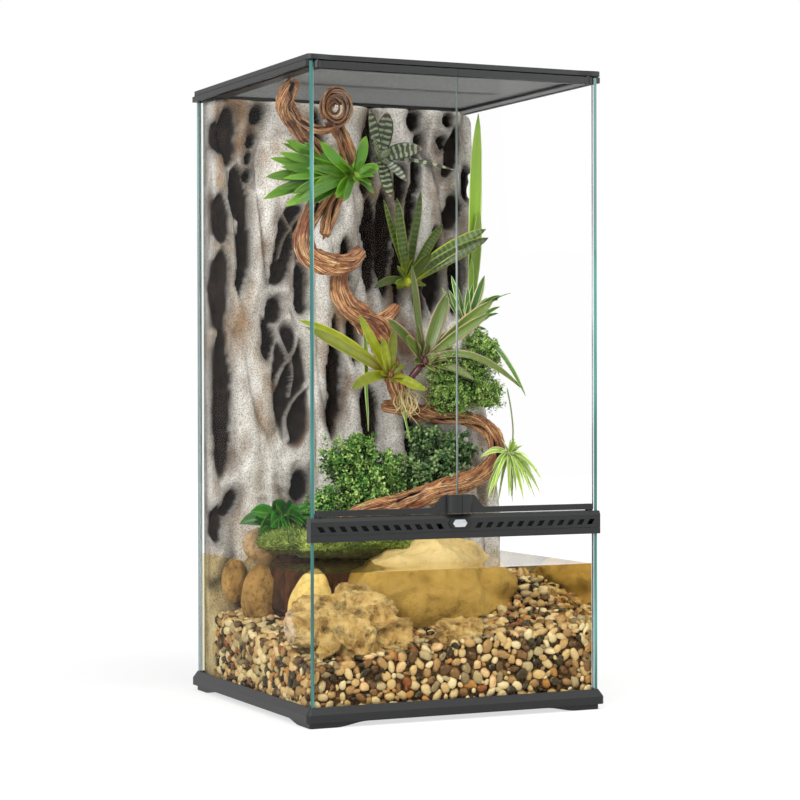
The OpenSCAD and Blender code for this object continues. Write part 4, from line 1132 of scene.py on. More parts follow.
@dataclass
class Background:
    """Moulded relief of fused trunks with long dents between them, painted dark as shade."""

    depth_top: float = 62.0
    depth_left: float = 36.0
    depth_right: float = 150.0
    half_width: float = 217.0
    low: float = 18.5
    high: float = 903.5
    columns: int = 180
    rows: int = 370
    hollow_depth: float = 26.0
    valley_depth: float = 9.0
    least_depth: float = 6.0
    corner_radius: float = 26.0
    rim_width: float = 7.0
    rim_drop: float = 5.0
    root_width: float = 4.2

    def wall(self, x: Array, z: Array) -> Array:
        """Gives the relief's main shape without its hollows.

        Args:
            x: Laid-out X of each place.
            z: Laid-out Z of each place.

        Returns:
            Its depth from the back glass.
        """
        left = self.depth_left + (self.depth_top - self.depth_left) * ramp(150, 450, z)
        right = self.depth_right + (self.depth_top - self.depth_right) * ramp(250, 600, z)
        return left + (right - left) * ramp(-220, 220, x)

    def dent(self, x: Array, z: Array) -> tuple[Array, Array]:
        """How far each place lies inside one of the dents, and how far in the valley round one.

        Args:
            x: Laid-out X of each place.
            z: Laid-out Z of each place.

        Returns:
            Two values from 0 to 1 for each place.
        """
        flat = np.column_stack((x, np.zeros_like(x), z))
        bent = x + 3.4 * lattice(flat, 34, 5) + 1.6 * lattice(flat, 13, 6)
        inside, valley = np.zeros_like(x), np.zeros_like(x)
        for cx, cz, rx, rz, lean in HOLLOWS:
            across = (bent - cx - lean * (z - cz)) / (rx + 1.5)
            q = np.sqrt(across**2 + (np.abs(z - cz) / rz) ** 2.4)
            inside = np.maximum(inside, np.sqrt(np.clip(1.06 - q, 0, 1)))
            tall = np.abs(z - cz) / (rz + 16)
            valley = np.maximum(valley, np.exp(-((across * rx / (rx + 12.0)) ** 2) - tall**4))
        for line in ROOTS:
            gap = np.full_like(x, 1e9)
            for place in smooth_path(line, 8):
                gap = np.minimum(gap, np.hypot(x - place[0], z - place[1]))
            inside = inside * (1 - 0.9 * np.exp(-((gap / self.root_width) ** 2)))
        return np.clip(inside * 1.25, 0, 1), valley

    def depth(self, x: Array, z: Array) -> tuple[Array, Array]:
        """Gives the finished relief.

        Args:
            x: Laid-out X of each place.
            z: Laid-out Z of each place.

        Returns:
            The depth from the back glass, and how much painted shade each place gets.
        """
        inside, valley = self.dent(x, z)
        tall = np.column_stack((x + 0.12 * z, np.zeros_like(x), z / 6))
        fine = np.column_stack((x, np.zeros_like(x), z / 2))
        crease = np.abs(lattice(tall, 40, 1))
        trunks = 17.0 * np.sqrt(np.clip(crease * 1.6, 0, 1)) - 6.0
        trunks = trunks + 3.0 * lattice(tall, 15, 2) + 0.8 * uneven(fine, 7, 2, 3)
        # painted shade along the creases where two trunks meet
        groove = np.exp(-((crease / 0.09) ** 2)) * ramp(-0.35, 0.25, lattice(tall, 70, 9))
        wrinkles = 1.8 * np.sin(z / 3.1 + 0.05 * x) * np.exp(-(((x + 112) / 55) ** 2) - ((z - 262) / 70) ** 2)
        deepest = np.minimum(self.hollow_depth, self.wall(x, z) / 2)
        depth = self.wall(x, z) + trunks - self.valley_depth * valley + wrinkles - deepest * inside
        # painted shade: dark inside the dents, softer in the valleys round them, and along the creases between the
        # trunks
        dark = np.maximum(ramp(0.1, 0.55, inside), 0.7 * ramp(0.3, 1.0, valley))
        return depth, np.maximum(dark, 0.8 * groove)

    def build(self, tank: Tank) -> None:
        """Shapes the panel from a fine grid and closes it towards the glass.

        Args:
            tank: The tank's layout.
        """
        panel = primitive("grid", "relief_background", x_subdivisions=self.columns, y_subdivisions=self.rows, size=2)
        flat = corners_of(panel)
        x = flat[:, 0] * self.half_width
        z = self.low + (flat[:, 1] + 1) / 2 * (self.high - self.low)
        over_x = np.clip(x - (self.half_width - self.corner_radius), 0, None)
        over_z = np.clip(z - (self.high - self.corner_radius), 0, None)
        reach = np.maximum(np.hypot(over_x, over_z), 1e-6)
        pull = np.minimum(np.maximum(over_x, over_z) / reach, 1)
        inner = (over_x > 0) & (over_z > 0)
        x = np.where(inner, x - over_x + over_x * pull, x)
        z = np.where(inner, z - over_z + over_z * pull, z)
        deep, dark = self.depth(x, z)
        edge = np.minimum(self.half_width - np.abs(x), np.minimum(z - self.low, self.high - z))
        deep = deep - self.rim_drop * (1 - np.sqrt(np.clip(edge / self.rim_width, 0, 1)))
        move_corners(panel, tank.at(np.column_stack((x, tank.laid_back - np.clip(deep, self.least_depth, None), z))))
        places = close_sheet(panel, 1, tank.back_y - 0.0004, 0.001)
        panel.data.shade_smooth()
        # painted shade for the sheet's own corners, none for the closing rim
        shade = np.zeros(len(places))
        shade[: len(dark)] = dark
        carry(panel, "painted_hollow_shade", shade)
        settle(panel, CoatedFoam("speckled_coat_on_foam"), "background_foam", "background_panel")


# ---------------------------------------------------------------- ground: gravel, stones, water, moss


@dataclass
class Lump:
    """A rounded body in the layout: its middle, half sizes and how square, uneven and rough it is."""

    middle: Point
    half: Point
    seed: int = 0
    blocky: float = 1.0
    uneven: float = 0.06
    rough: float = 0.05
    rough_mm: float = 30.0
    craggy: float = 0.0  # how much of the roughness is sharp ridges
    taper: float = 0.0  # how much narrower the top is
    peak: float = 0.0  # how far the top leans to the right, in millimetres

    def block(self, v: Array) -> Array:
        """Squares a share from -1 to 1 off by the body's blockiness."""
        return np.sign(v) * np.abs(v) ** self.blocky

    def shape(self, directions: Array) -> Array:
        """Shapes the body's skin.

        Args:
            directions: Directions from its middle, one row each.

        Returns:
            The laid-out place of the skin in each direction.
        """
        lat = np.arcsin(np.clip(directions[:, 2], -1, 1))
        lon = np.arctan2(directions[:, 1], directions[:, 0])
        turn = np.radians(self.seed)
        swell = 1 + self.uneven * (np.sin(2 * lon + 40 * turn) + np.sin(3 * lon + lat * 2 + 70 * turn)) * np.cos(lat)
        across, deep = swell * self.block(np.cos(lat) * np.cos(lon)), swell * self.block(np.cos(lat) * np.sin(lon))
        flat = np.column_stack((across, deep, self.block(np.sin(lat)))) * np.array(self.half)
        rise = np.clip(np.sin(lat), 0, 1)
        flat[:, :2] *= (1 - self.taper * rise**1.5)[:, None]
        flat[:, 0] += self.peak * rise**2
        bumps = uneven(flat + 500 * (self.seed + 1), self.rough_mm, 4, self.seed)
        ridges = 0.6 - 2.2 * np.abs(uneven(flat + 900 * (self.seed + 1), self.rough_mm * 1.3, 4, self.seed + 5))
        bumps = (1 - self.craggy) * bumps + self.craggy * ridges
        return np.array(self.middle) + flat * (1 + self.rough * bumps)[:, None]

    def clear(self, places: Array, gap: float) -> Array:
        """Tells which laid-out places lie outside the body by at least a gap."""
        share = (places - np.array(self.middle)) / (np.array(self.half) + gap)
        return (np.abs(share) ** (2 / self.blocky)).sum(axis=1) > 0.92

    def build(self, name: str, tank: Tank, detail: int = 6) -> Piece:
        """Shapes the body from a fine ball.

        Args:
            name: Name of the piece.
            tank: The tank's layout.
            detail: How often the ball's faces are divided.

        Returns:
            The body, without a finish.
        """
        ball = primitive("ico_sphere", name, subdivisions=detail, radius=1)
        move_corners(ball, tank.at(self.shape(unit(corners_of(ball)))))
        ball.data.shade_smooth()
        return ball


@dataclass
class Stones:
    """The seven stones, from the big central boulder to the eggs in the left corner."""

    bodies: dict[str, Lump] = field(
        default_factory=lambda: {
            "boulder_center": Lump((45, -25, 158), (134, 88, 80), 1, 0.85, 0.06, 0.2, 80, 0.7, 0.5, 24),
            "rock_front": Lump((-130, -150, 126), (66, 46, 50), 4, 0.8, 0.1, 0.5, 38, 0.85),
            "rock_small": Lump((25, -182, 112), (36, 21, 27), 5, 0.9, 0.08, 0.4, 24, 0.8),
            "rock_slab_left": Lump((-150, -45, 140), (32, 27, 60), 6, 0.75, 0.06, 0.12, 45, 0.5, 0.45, 10),
            "rock_left_egg": Lump((-167, 112, 150), (30, 27, 48), 7, 1.0, 0.03, 0.06, 30, 0.3),
            "rock_left_top": Lump((-152, 128, 228), (38, 30, 27), 8, 1.0, 0.03, 0.07, 30, 0.3),
            "rock_left_back": Lump((-188, 164, 172), (20, 22, 34), 9, 1.0, 0.05, 0.04, 30),
        }
    )

    def clear(self, places: Array, gap: float) -> Array:
        """Tells which laid-out places lie outside all stones by at least a gap."""
        return np.logical_and.reduce([body.clear(places, gap) for body in self.bodies.values()])

    def build(self, tank: Tank) -> None:
        """Shapes and dresses every stone.

        Args:
            tank: The tank's layout.
        """
        yellow = Stone("yellow_sandstone", "#cfb677", "#b99e5e", "#86702f", 70, 16, 0.002, pit_lightness=0.86)
        crusted = Stone("crusted_limestone", "#f2e2c0", "#cdb083", "#6b4b2d", 24, 17, 0.008, pit_lightness=0.3)
        pale = Stone("pale_slate", "#f0e3b4", "#e0cb92", "#b9a066", pit_depth=0.0012, pit_lightness=0.8)
        brown = Stone("brown_cobble", "#b99a6e", "#9a7c54", "#60472d", 30, 7, 0.0025, bands=0.1, pit_lightness=0.6)
        finishes = (yellow, crusted, crusted, pale, brown, brown, brown)
        for (name, body), finish in zip(self.bodies.items(), finishes):
            settle(body.build(name + "_stone", tank), finish, "sandstone", name)


@dataclass
class GravelBed:
    """Pebbles heaped from front to back, higher at the right, over a dark ground painted as the shade between them."""

    front_left: float = 80.0
    front_right: float = 125.0
    back_left: float = 128.0
    back_right: float = 186.0
    heaped: float = 26.0  # extra height against the right pane
    sizes: tuple[float, float] = (2.6, 8.0)  # half lengths of the smallest and largest pebbles
    width: float = 438.0  # of each packed side
    low: float = 20.0
    seed: int = 11

    def height(self, x: Array, y: Array) -> Array:
        """Gives the height of the heap.

        Args:
            x: Laid-out X of each place.
            y: Laid-out Y of each place.

        Returns:
            Its laid-out Z.
        """
        u, v = (x + 220) / 440, (y + 220) / 440
        front = self.front_left + (self.front_right - self.front_left) * u
        back = self.back_left + (self.back_right - self.back_left) * u
        waves = 3 * np.sin(np.radians(2.1 * x)) * np.cos(np.radians(1.7 * y))
        return front + (back - front) * v + waves + self.heaped * ramp(150, 215, x) * ramp(-190, -60, y)

    def ground(self, tank: Tank) -> None:
        """Lays the dark ground, painted as the shade that fills the gaps between the pebbles.

        Args:
            tank: The tank's layout.
        """
        bed = primitive("grid", "painted_shade_ground", x_subdivisions=40, y_subdivisions=40, size=2)
        x, y = corners_of(bed)[:, :2].T * 212
        move_corners(bed, tank.at(np.column_stack((x, y, self.height(x, y) - 7))))
        close_sheet(bed, 2, tank.floor_z + 0.0006, -0.001)
        # painted shade: dark brown that stands for the shade in the gaps between the pebbles
        settle(bed, Earth("shadow_between_pebbles", "#5a3f2b", "#20150e", 7), "pebbles", "gravel_bed")

    def scatter(self, rng: np.random.Generator, width: float, height: float, tries: int) -> Array:
        """Throws pebbles of falling size onto a rectangle, each clear of the ones before.

        Args:
            rng: Source of the random draws.
            width: Width of the rectangle.
            height: Height of the rectangle.
            tries: Number of throws.

        Returns:
            Rows of place across, place up and radius.
        """
        small, large = self.sizes
        radii = large - (large - small) * np.linspace(0, 1, tries) ** 0.7
        throws = rng.random((tries, 2)) * (width, height)
        cell = large * 2
        grid: dict[tuple[int, int], list[Point]] = {}
        kept = []
        for (a, b), r in zip(throws.tolist(), radii.tolist()):
            i, j = int(a / cell), int(b / cell)
            near = (q for di in (-1, 0, 1) for dj in (-1, 0, 1) for q in grid.get((i + di, j + dj), ()))
            if all((a - q[0]) ** 2 + (b - q[1]) ** 2 > (0.86 * (r + q[2])) ** 2 for q in near):
                grid.setdefault((i, j), []).append((a, b, r))
                kept.append((a, b, r))
        return np.array(kept)

    def heap(
        self, name: str, tank: Tank, middles: Array, radii: Array, facing: Array, rng: np.random.Generator
    ) -> None:
        """Copies one rounded pebble to every place, each with its own shape and turn.

        Args:
            name: Name of the piece.
            tank: The tank's layout.
            middles: Laid-out middles.
            radii: Half lengths in millimetres.
            facing: Directions that the pebbles' flat sides face.
            rng: Source of the random draws.
        """
        template, faces = take_ball(primitive("ico_sphere", "pebble_blank", subdivisions=2, radius=1))
        n = len(middles)
        axes = radii[:, None] * np.column_stack(
            (rng.uniform(1.0, 1.5, n), rng.uniform(0.7, 1.0, n), rng.uniform(0.5, 0.78, n))
        )
        normal = unit(facing + rng.normal(0, 0.28, (n, 3)))
        spin = rng.normal(0, 1, (n, 3))
        first = unit(spin - normal * (spin * normal).sum(1, keepdims=True))
        second = np.cross(normal, first)
        bulge = np.sign(template) * np.abs(template) ** 0.88
        lump = 1 + 0.13 * np.sin(template @ rng.normal(0, 2.2, (n, 3, 1)) + rng.random((n, 1, 1)) * 6)
        local = bulge[None] * axes[:, None, :] * lump
        world = (
            local[..., 0:1] * first[:, None] + local[..., 1:2] * second[:, None] + local[..., 2:3] * normal[:, None]
        )
        corners = tank.at(middles)[:, None, :] + world * MM
        side = tank.inner_x - 0.0008
        corners[..., 0] = np.clip(corners[..., 0], -side, side)
        corners[..., 1] = np.clip(corners[..., 1], tank.front_y + 0.0008, tank.back_y - 0.001)
        corners[..., 2] = np.maximum(corners[..., 2], tank.floor_z + 0.0004)
        shell = Shell()
        all_faces = (faces[None] + (np.arange(n) * len(template))[:, None, None]).reshape(-1, 3)
        shell.put(corners.reshape(-1, 3), all_faces, tone=np.repeat(rng.random(n), len(template)))
        settle(shell.link(name), TumbledPebbles("tumbled_river_pebbles"), "pebbles")

    def build(self, tank: Tank, stones: Stones, background: Background) -> None:
        """Packs pebbles against the glass on three sides and over the heap's top.

        Args:
            tank: The tank's layout.
            stones: The stones, which the pebbles keep clear of.
            background: The relief behind, which ends the heap.
        """
        self.ground(tank)
        rng = np.random.default_rng(self.seed)
        half = self.width / 2
        for side, sign in (("front", 0.0), ("left", -1.0), ("right", 1.0)):
            spots = self.scatter(rng, self.width, 175, 15000)
            run = spots[:, 0] - half
            up = spots[:, 1] + self.low
            deep = half + 0.2 - 0.62 * spots[:, 2] - rng.random(len(spots)) ** 2 * 3.5
            middle = np.column_stack((sign * deep, run, up) if sign else (run, -(deep - 0.6), up))
            facing = np.tile((sign, 0.0, 0.0) if sign else (0.0, -1.0, 0.0), (len(spots), 1))
            top = self.height(middle[:, 0], middle[:, 1])
            behind = background.wall(middle[:, 0], middle[:, 2])
            keep = (up < top - 1) & (middle[:, 1] < 212 - behind) & stones.clear(middle, 2.0)
            self.heap(f"pebbles_at_{side}", tank, middle[keep], spots[keep, 2], facing[keep], rng)
        spots = self.scatter(rng, self.width, self.width, 42000)
        x, y = spots[:, 0] - half, spots[:, 1] - half
        middle = np.column_stack((x, y, self.height(x, y) - 0.3 * spots[:, 2] + rng.normal(0, 1.2, len(spots))))
        behind = background.wall(x, middle[:, 2])
        keep = (y < 214 - behind) & stones.clear(middle, 0.0) & (np.abs(x) < 216) & (y > -216)
        keep &= ~((x < 40) & (x > -140) & (y > 40))  # nothing is seen below the bank
        facing = np.tile((0.0, -0.2, 1.0), (keep.sum(), 1))
        self.heap("pebbles_on_top", tank, middle[keep], spots[keep, 2], facing, rng)


@dataclass
class Water:
    """The water that fills the tank's lower part."""

    surface: float = 209.5
    gap: float = 0.0006
    creep: float = 0.0012  # how far the water climbs the glass
    creep_width: float = 0.012

    def build(self, tank: Tank) -> None:
        """Models the water as one block whose top dimples a little.

        Args:
            tank: The tank's layout.
        """
        top = float(tank.at([(0, 0, self.surface)])[0, 2])
        low = tank.floor_z + 0.004
        x, y0, y1 = tank.inner_x - self.gap, tank.front_y + self.gap, tank.back_y - self.gap
        block = primitive("cube", "tank_water", size=1)
        move_corners(block, (corners_of(block) + 0.5) * (2 * x, y1 - y0, top - low) + (-x, y0, low))
        edit(block, ALL, ("subdivide", {"number_cuts": 14}))
        corners = corners_of(block)
        rim = np.minimum(x - np.abs(corners[:, 0]), np.minimum(corners[:, 1] - y0, y1 - corners[:, 1]))
        dip = self.creep * np.exp(-rim / self.creep_width) + 0.0002 * lattice(corners * 1000, 60, 3)
        corners[:, 2] += np.where(corners[:, 2] > top - 1e-5, dip, 0)
        move_corners(block, corners)
        settle(block, StillWater("still_tank_water"), "glass_panes")


@dataclass
class LandBank:
    """Bark-faced bank of soil behind the boulder, with a carpet of moss on its top."""

    bank: Lump = field(default_factory=lambda: Lump((-38, 104, 160), (114, 98, 76), 2, 0.75, 0.05, 0.1, 40, 0.4))
    carpet: Lump = field(default_factory=lambda: Lump((-55, 66, 236), (114, 100, 27), 3, 0.85, 0.06, 0.1, 26))
    tufts: int = 15000
    tuft_height: float = 8.0
    seed: int = 5

    def build(self, tank: Tank) -> None:
        """Shapes the bank and its moss, and covers the moss with short spikes.

        Args:
            tank: The tank's layout.
        """
        bark = Earth("wet_red_bark", "#5a3020", "#140905", 9, (1, 1, 0.22))
        settle(self.bank.build("bark_bank", tank), bark, "soil_bark", "land_bank")
        settle(self.carpet.build("moss_cushion", tank), Earth("moss_shadow", "#67732a", "#1c240c", 5), "moss")
        rng = np.random.default_rng(self.seed)
        out = unit(rng.normal(0, 1, (self.tufts, 3)))
        out[:, 2] = np.abs(out[:, 2]) * 0.9 - 0.25
        foot = self.carpet.shape(unit(out))
        away = unit(unit((foot - np.array(self.carpet.middle)) / np.array(self.carpet.half) ** 1.4) + (0, 0, 0.5))
        tall = self.tuft_height * rng.uniform(0.5, 1.2, self.tufts)
        lean = unit(away + rng.normal(0, 0.4, away.shape))
        side = unit(np.cross(lean, rng.normal(0, 1, away.shape)))
        other = np.cross(side, lean)
        wide = rng.uniform(0.9, 2.0, self.tufts)[:, None]
        ring = [foot - lean * 1.5 + wide * (math.cos(a) * side + math.sin(a) * other) for a in (0, 2.1, 4.2)]
        corners = np.stack((*ring, foot + lean * tall[:, None]), axis=1)
        order = np.array(((0, 1, 3), (1, 2, 3), (2, 0, 3), (2, 1, 0)))
        faces = (order[None] + (np.arange(self.tufts) * 4)[:, None, None]).reshape(-1, 3)
        tone = np.clip(0.5 + 0.5 * uneven(foot, 22, 2, 9) + rng.normal(0, 0.2, self.tufts), 0, 1)
        shell = Shell()
        shell.put(tank.at(corners.reshape(-1, 3)), faces, tone=np.repeat(tone, 4))
        green = SmallLeaves("moss_green", "#3d4d10", "#7d9630", "#c9d465")
        settle(shell.link("moss_tufts"), green, "moss", "moss_carpet")


# ---------------------------------------------------------------- vines


@dataclass
class Stem:
    """A woody stem twisted from several cords: places and radii along it in the layout."""

    points: Sequence[Place]
    cords: int = 4
    turn: float = 1.3  # degrees of twist per millimetre
    apart: float = 0.5  # how far the cords lie from the stem's middle, as a share of its radius
    ragged: float = 0.5
    sides: int = 16
    step: float = 2.0
    seed: int = 0

    def put(self, shell: Shell, tank: Tank) -> None:
        """Adds every cord of the stem.

        Args:
            shell: Takes the cords.
            tank: The tank's layout.
        """
        route = smooth_path(self.points, 24)
        route[:, :3] = tank.at(route) / MM
        length = np.concatenate(([0], np.cumsum(np.linalg.norm(np.diff(route[:, :3], axis=0), axis=1))))
        along = np.linspace(0, length[-1], max(int(length[-1] / self.step), 8))
        path = np.column_stack([np.interp(along, length, route[:, k]) for k in range(4)])
        _, side, up = carried_frames(path[:, :3])
        flow = np.column_stack((along, along * 0, along * 0))
        for cord in range(self.cords):
            wander = 30 * lattice(flow, 45, self.seed + 7 * cord)
            turned = np.radians(self.turn * along + wander + 360 * cord / self.cords)
            reach = self.apart * path[:, 3] * (1 + 0.3 * lattice(flow, 30, self.seed + 50 + cord))
            way = np.cos(turned)[:, None] * side + np.sin(turned)[:, None] * up
            thick = (path[:, 3] - reach) * (1 + 0.16 * lattice(flow, 22, self.seed + 90 + cord))
            self.cord(shell, path[:, :3] + reach[:, None] * way, thick, way, along, cord)

    def cord(self, shell: Shell, path: Array, thick: Array, way: Array, along: Array, number: int) -> None:
        """Adds one cord, closed at both ends by torn tips.

        Args:
            shell: Takes the surface.
            path: The cord's middle line in millimetres.
            thick: Its radius at each place.
            way: Directions from the stem's middle to the cord.
            along: Distance along the stem.
            number: The cord's place in the bundle.
        """
        ahead, side, up = carried_frames(path)
        angle = np.arange(self.sides) * math.tau / self.sides
        local = angle[None, :] + 0.02 * along[:, None] + number
        lobe = np.abs(np.cos(1.5 * local)) ** 0.6
        around = np.cos(angle)[None, :, None] * side[:, None] + np.sin(angle)[None, :, None] * up[:, None]
        radius = thick[:, None] * (0.84 + 0.16 * lobe)
        flat = (path[:, None] + radius[..., None] * around).reshape(-1, 3)
        bumps = 0.2 * lattice(flat, 11, 1) + 0.13 * lattice(flat, 4.5, 2)
        radius = radius * (1 + bumps.reshape(radius.shape))
        places = path[:, None] + radius[..., None] * around
        inward = np.clip(-(around * way[:, None]).sum(-1), 0, 1)
        # painted shade: darker on the side that faces the stem's middle, and between the lobes
        dark = np.clip(inward * 1.3 - 0.1 + 0.9 * (1 - lobe) ** 2, 0, 1)
        mapped = np.stack((np.cos(local), np.sin(local)), axis=-1)
        jag = self.ragged * lattice(flat, 4, 7).reshape(radius.shape)[..., None]
        run = np.repeat(along[:, None] + 97 * number, self.sides, axis=1)
        layers = [(places, mapped, dark, run)]
        for end, sign in ((0, -1.0), (-1, 1.0)):
            for share, push in ((0.72, 0.25), (0.3, 0.32)):
                cap = path[end] + share * (places[end] - path[end]) + sign * ahead[end] * thick[end] * (push + jag[end])
                layer = (cap[None], mapped[[end]] * share, dark[[end]] * 0.4, run[[end]])
                layers.insert(0, layer) if end == 0 else layers.append(layer)
        rings, map_rows, shade_rows, run_rows = (np.concatenate(parts) for parts in zip(*layers))
        shell.tube(rings, map_rows.reshape(-1, 2), groove=shade_rows.ravel(), along=run_rows.ravel())


@dataclass
class Vines:
    """The twisted vines: a coil under the roof, a hook, a trunk and a long lower branch."""

    coil_middle: Point = (-117, -60, 870)
    coil_turns: float = 3.4
    coil_points: int = 56
    coil_radius: float = 25.0

    def coil(self) -> list[Stem]:
        """Lays out the coil and the strands that fall from it.

        Returns:
            Their stems.
        """
        x, y, z = self.coil_middle
        spiral = []
        for k in range(self.coil_points):
            share = k / (self.coil_points - 1)
            a = math.radians(215 - 360 * self.coil_turns * share)
            r = self.coil_radius * (1 - 0.86 * share)
            spiral.append((x + r * math.cos(a), y - 12 + 16 * share, z + 1.18 * r * math.sin(a), 4.6 - 1.0 * share))
        left = [(-198, -104, 897, 10), (-199, -86, 888, 13), (-188, -46, 872, 14), (-160, -12, 850, 13),
                (-130, 6, 830, 12), (-106, 8, 812, 11), (-90, 10, 788, 11), (-85, 8, 762, 13)]
        right = [(-107, -58, 850, 6), (-90, -40, 830, 8), (-68, -14, 796, 9), (-76, 6, 770, 9)]
        front = [(-184, -70, 866, 5), (-156, -36, 842, 6), (-126, -16, 818, 6), (-104, -4, 786, 6)]
        middle = [(-130, -60, 850, 4), (-104, -44, 832, 6), (-88, -26, 806, 6), (-86, -8, 776, 6)]
        join = [(-182, -54, 868, 7), (-164, -56, 848, 7), (-142, -58, 838, 7), (-118, -60, 842, 6), (-98, -60, 856, 5)]
        return [
            Stem(spiral, 2, 3.0, 0.5, 0.3, 12, 1.6, 1),
            Stem(left, 6, 1.1, 0.6, 0.6, 14, seed=2),
            Stem(right, 4, 1.4, 0.6, 0.4, 12, seed=3),
            Stem(front, 3, 2.0, 0.55, 0.4, 12, seed=4),
            Stem(middle, 3, 2.0, 0.55, 0.4, 12, seed=5),
            Stem(join, 4, 1.8, 0.6, 0.5, 12, seed=6),
        ]

    def build(self, tank: Tank) -> None:
        """Builds the four vines.

        Args:
            tank: The tank's layout.
        """
        hook = [(-84, 8, 772, 10), (-112, 10, 739, 14), (-136, 10, 697, 16), (-130, 12, 664, 17), (-98, 14, 650, 18),
                (-62, 20, 652, 16), (-38, 28, 668, 12)]
        inner = [(-84, -2, 750, 9), (-98, -2, 722, 11), (-108, -2, 692, 9)]
        trunk = [(-58, 43, 655, 12), (-66, 43, 622, 15), (-54, 44, 592, 17), (-22, 50, 570, 19), (2, 52, 550, 21),
                 (16, 58, 522, 20), (30, 60, 486, 17), (44, 62, 449, 14)]
        torn = [(-8, 50, 556, 15), (20, 60, 570, 14), (40, 70, 587, 9)]
        lower = [(22, 74, 437, 10), (52, 66, 434, 14), (100, 60, 423, 13), (155, 50, 416, 12), (190, 40, 394, 14),
                 (193, 32, 356, 15), (162, 28, 331, 16), (92, 15, 311, 16), (19, 5, 292, 17), (-50, 0, 280, 14),
                 (-98, 14, 258, 7)]
        hooked = [Stem(hook, 6, 0.9, 0.56, 0.8, seed=7), Stem(inner, 4, 1.4, 0.5, 1.0, 14, seed=8)]
        upright = [Stem(trunk, 6, 1.0, 0.55, 1.2, seed=9), Stem(torn, 4, 0.8, 0.5, 1.6, 14, seed=10)]
        bark = VineBark("vine_fibres")
        for name, node, stems in (
            ("twisted_coil", "liana_top_coil", self.coil()),
            ("hooked_vine", "liana_hook", hooked),
            ("trunk_vine", "liana_trunk", upright),
            ("lower_vine", "liana_lower", [Stem(lower, 6, 0.9, 0.58, 0.8, seed=11)]),
        ):
            shell = Shell()
            for stem in stems:
                stem.put(shell, tank)
            settle(shell.link(name), bark, "vine_wood", node)


# ---------------------------------------------------------------- plants


class Outline(Enum):
    """Outline of a leaf from foot to tip, as shares of its full width."""

    STRAP = ((0.0, 0.5), (0.15, 0.72), (0.4, 0.98), (0.62, 1.0), (0.8, 0.82), (0.92, 0.5), (1.0, 0.04))
    OVATE = ((0.0, 0.12), (0.14, 0.16), (0.24, 0.62), (0.42, 1.0), (0.62, 0.94), (0.8, 0.64), (0.93, 0.26), (1.0, 0.03))
    GRASS = ((0.0, 0.8), (0.2, 1.0), (0.5, 0.95), (0.8, 0.6), (1.0, 0.05))


@dataclass
class Blade:
    """One leaf: foot, tip, full width, rise of its bow and how it is folded and turned."""

    foot: Place
    tip: Place
    width: float
    rise: float = 0.0
    outline: Outline = Outline.STRAP
    fold: float = 0.28
    facing: Place = (0.2, -1.0, 0.4)
    ruffle: float = 0.04
    tone: float = 0.5
    thick: float = 0.7
    rows: int = 16
    columns: int = 6

    def put(self, shell: Shell, tank: Tank) -> None:
        """Adds the leaf as one closed, thin body.

        Args:
            shell: Takes the leaf.
            tank: The tank's layout.
        """
        foot, tip = tank.at(self.foot) / MM, tank.at(self.tip) / MM
        middle = (foot + tip) / 2 + (0, 0, self.rise)
        t = np.linspace(0, 1, self.rows)[:, None]
        spine = (1 - t) ** 2 * foot + 2 * t * (1 - t) * middle + t**2 * tip
        ahead = unit(2 * (1 - t) * (middle - foot) + 2 * t * (tip - middle))
        side = unit(np.cross(ahead, np.array(self.facing)))
        up = np.cross(side, ahead)
        places, shares = zip(*self.outline.value)
        wide = self.width / 2 * np.interp(t[:, 0], places, shares)
        u = np.linspace(-1, 1, self.columns)
        wave = self.ruffle * self.width * np.sin(t * 9 + self.tone * 20) * np.abs(u)[None] ** 2
        lift = -self.fold * wide[:, None] * (1 - np.abs(u)[None] ** 1.4) + wave
        top = spine[:, None] + (wide[:, None] * u)[..., None] * side[:, None] + lift[..., None] * up[:, None]
        thin = (self.thick * np.clip(np.sin(np.pi * np.clip(t, 0.02, 0.98)) + 0.35, 0, 1) / 2)[:, None]
        thin = thin * (1 - 0.7 * np.abs(u)[None, :, None] ** 4)
        both = np.concatenate(((top + thin * up[:, None]).reshape(-1, 3), (top - thin * up[:, None]).reshape(-1, 3)))
        count, m = self.rows * self.columns, self.columns
        grid = np.arange(count).reshape(self.rows, m)
        a = grid[:-1, :-1]
        upper = np.stack((a, a + 1, a + m + 1, a + m), -1).reshape(-1, 4)
        lower = upper[:, ::-1] + count
        ring = np.concatenate((grid[0, :-1], grid[:-1, -1], grid[-1, :0:-1], grid[:0:-1, 0]))
        after = np.roll(ring, -1)
        band = np.stack((ring, after, after + count, ring + count), -1)[:, ::-1]
        mapped = np.stack(np.meshgrid((u + 1) / 2, t[:, 0]), -1).reshape(-1, 2)
        shell.put(both * MM, np.concatenate((upper, lower, band)), np.vstack((mapped, mapped)), tone=self.tone)


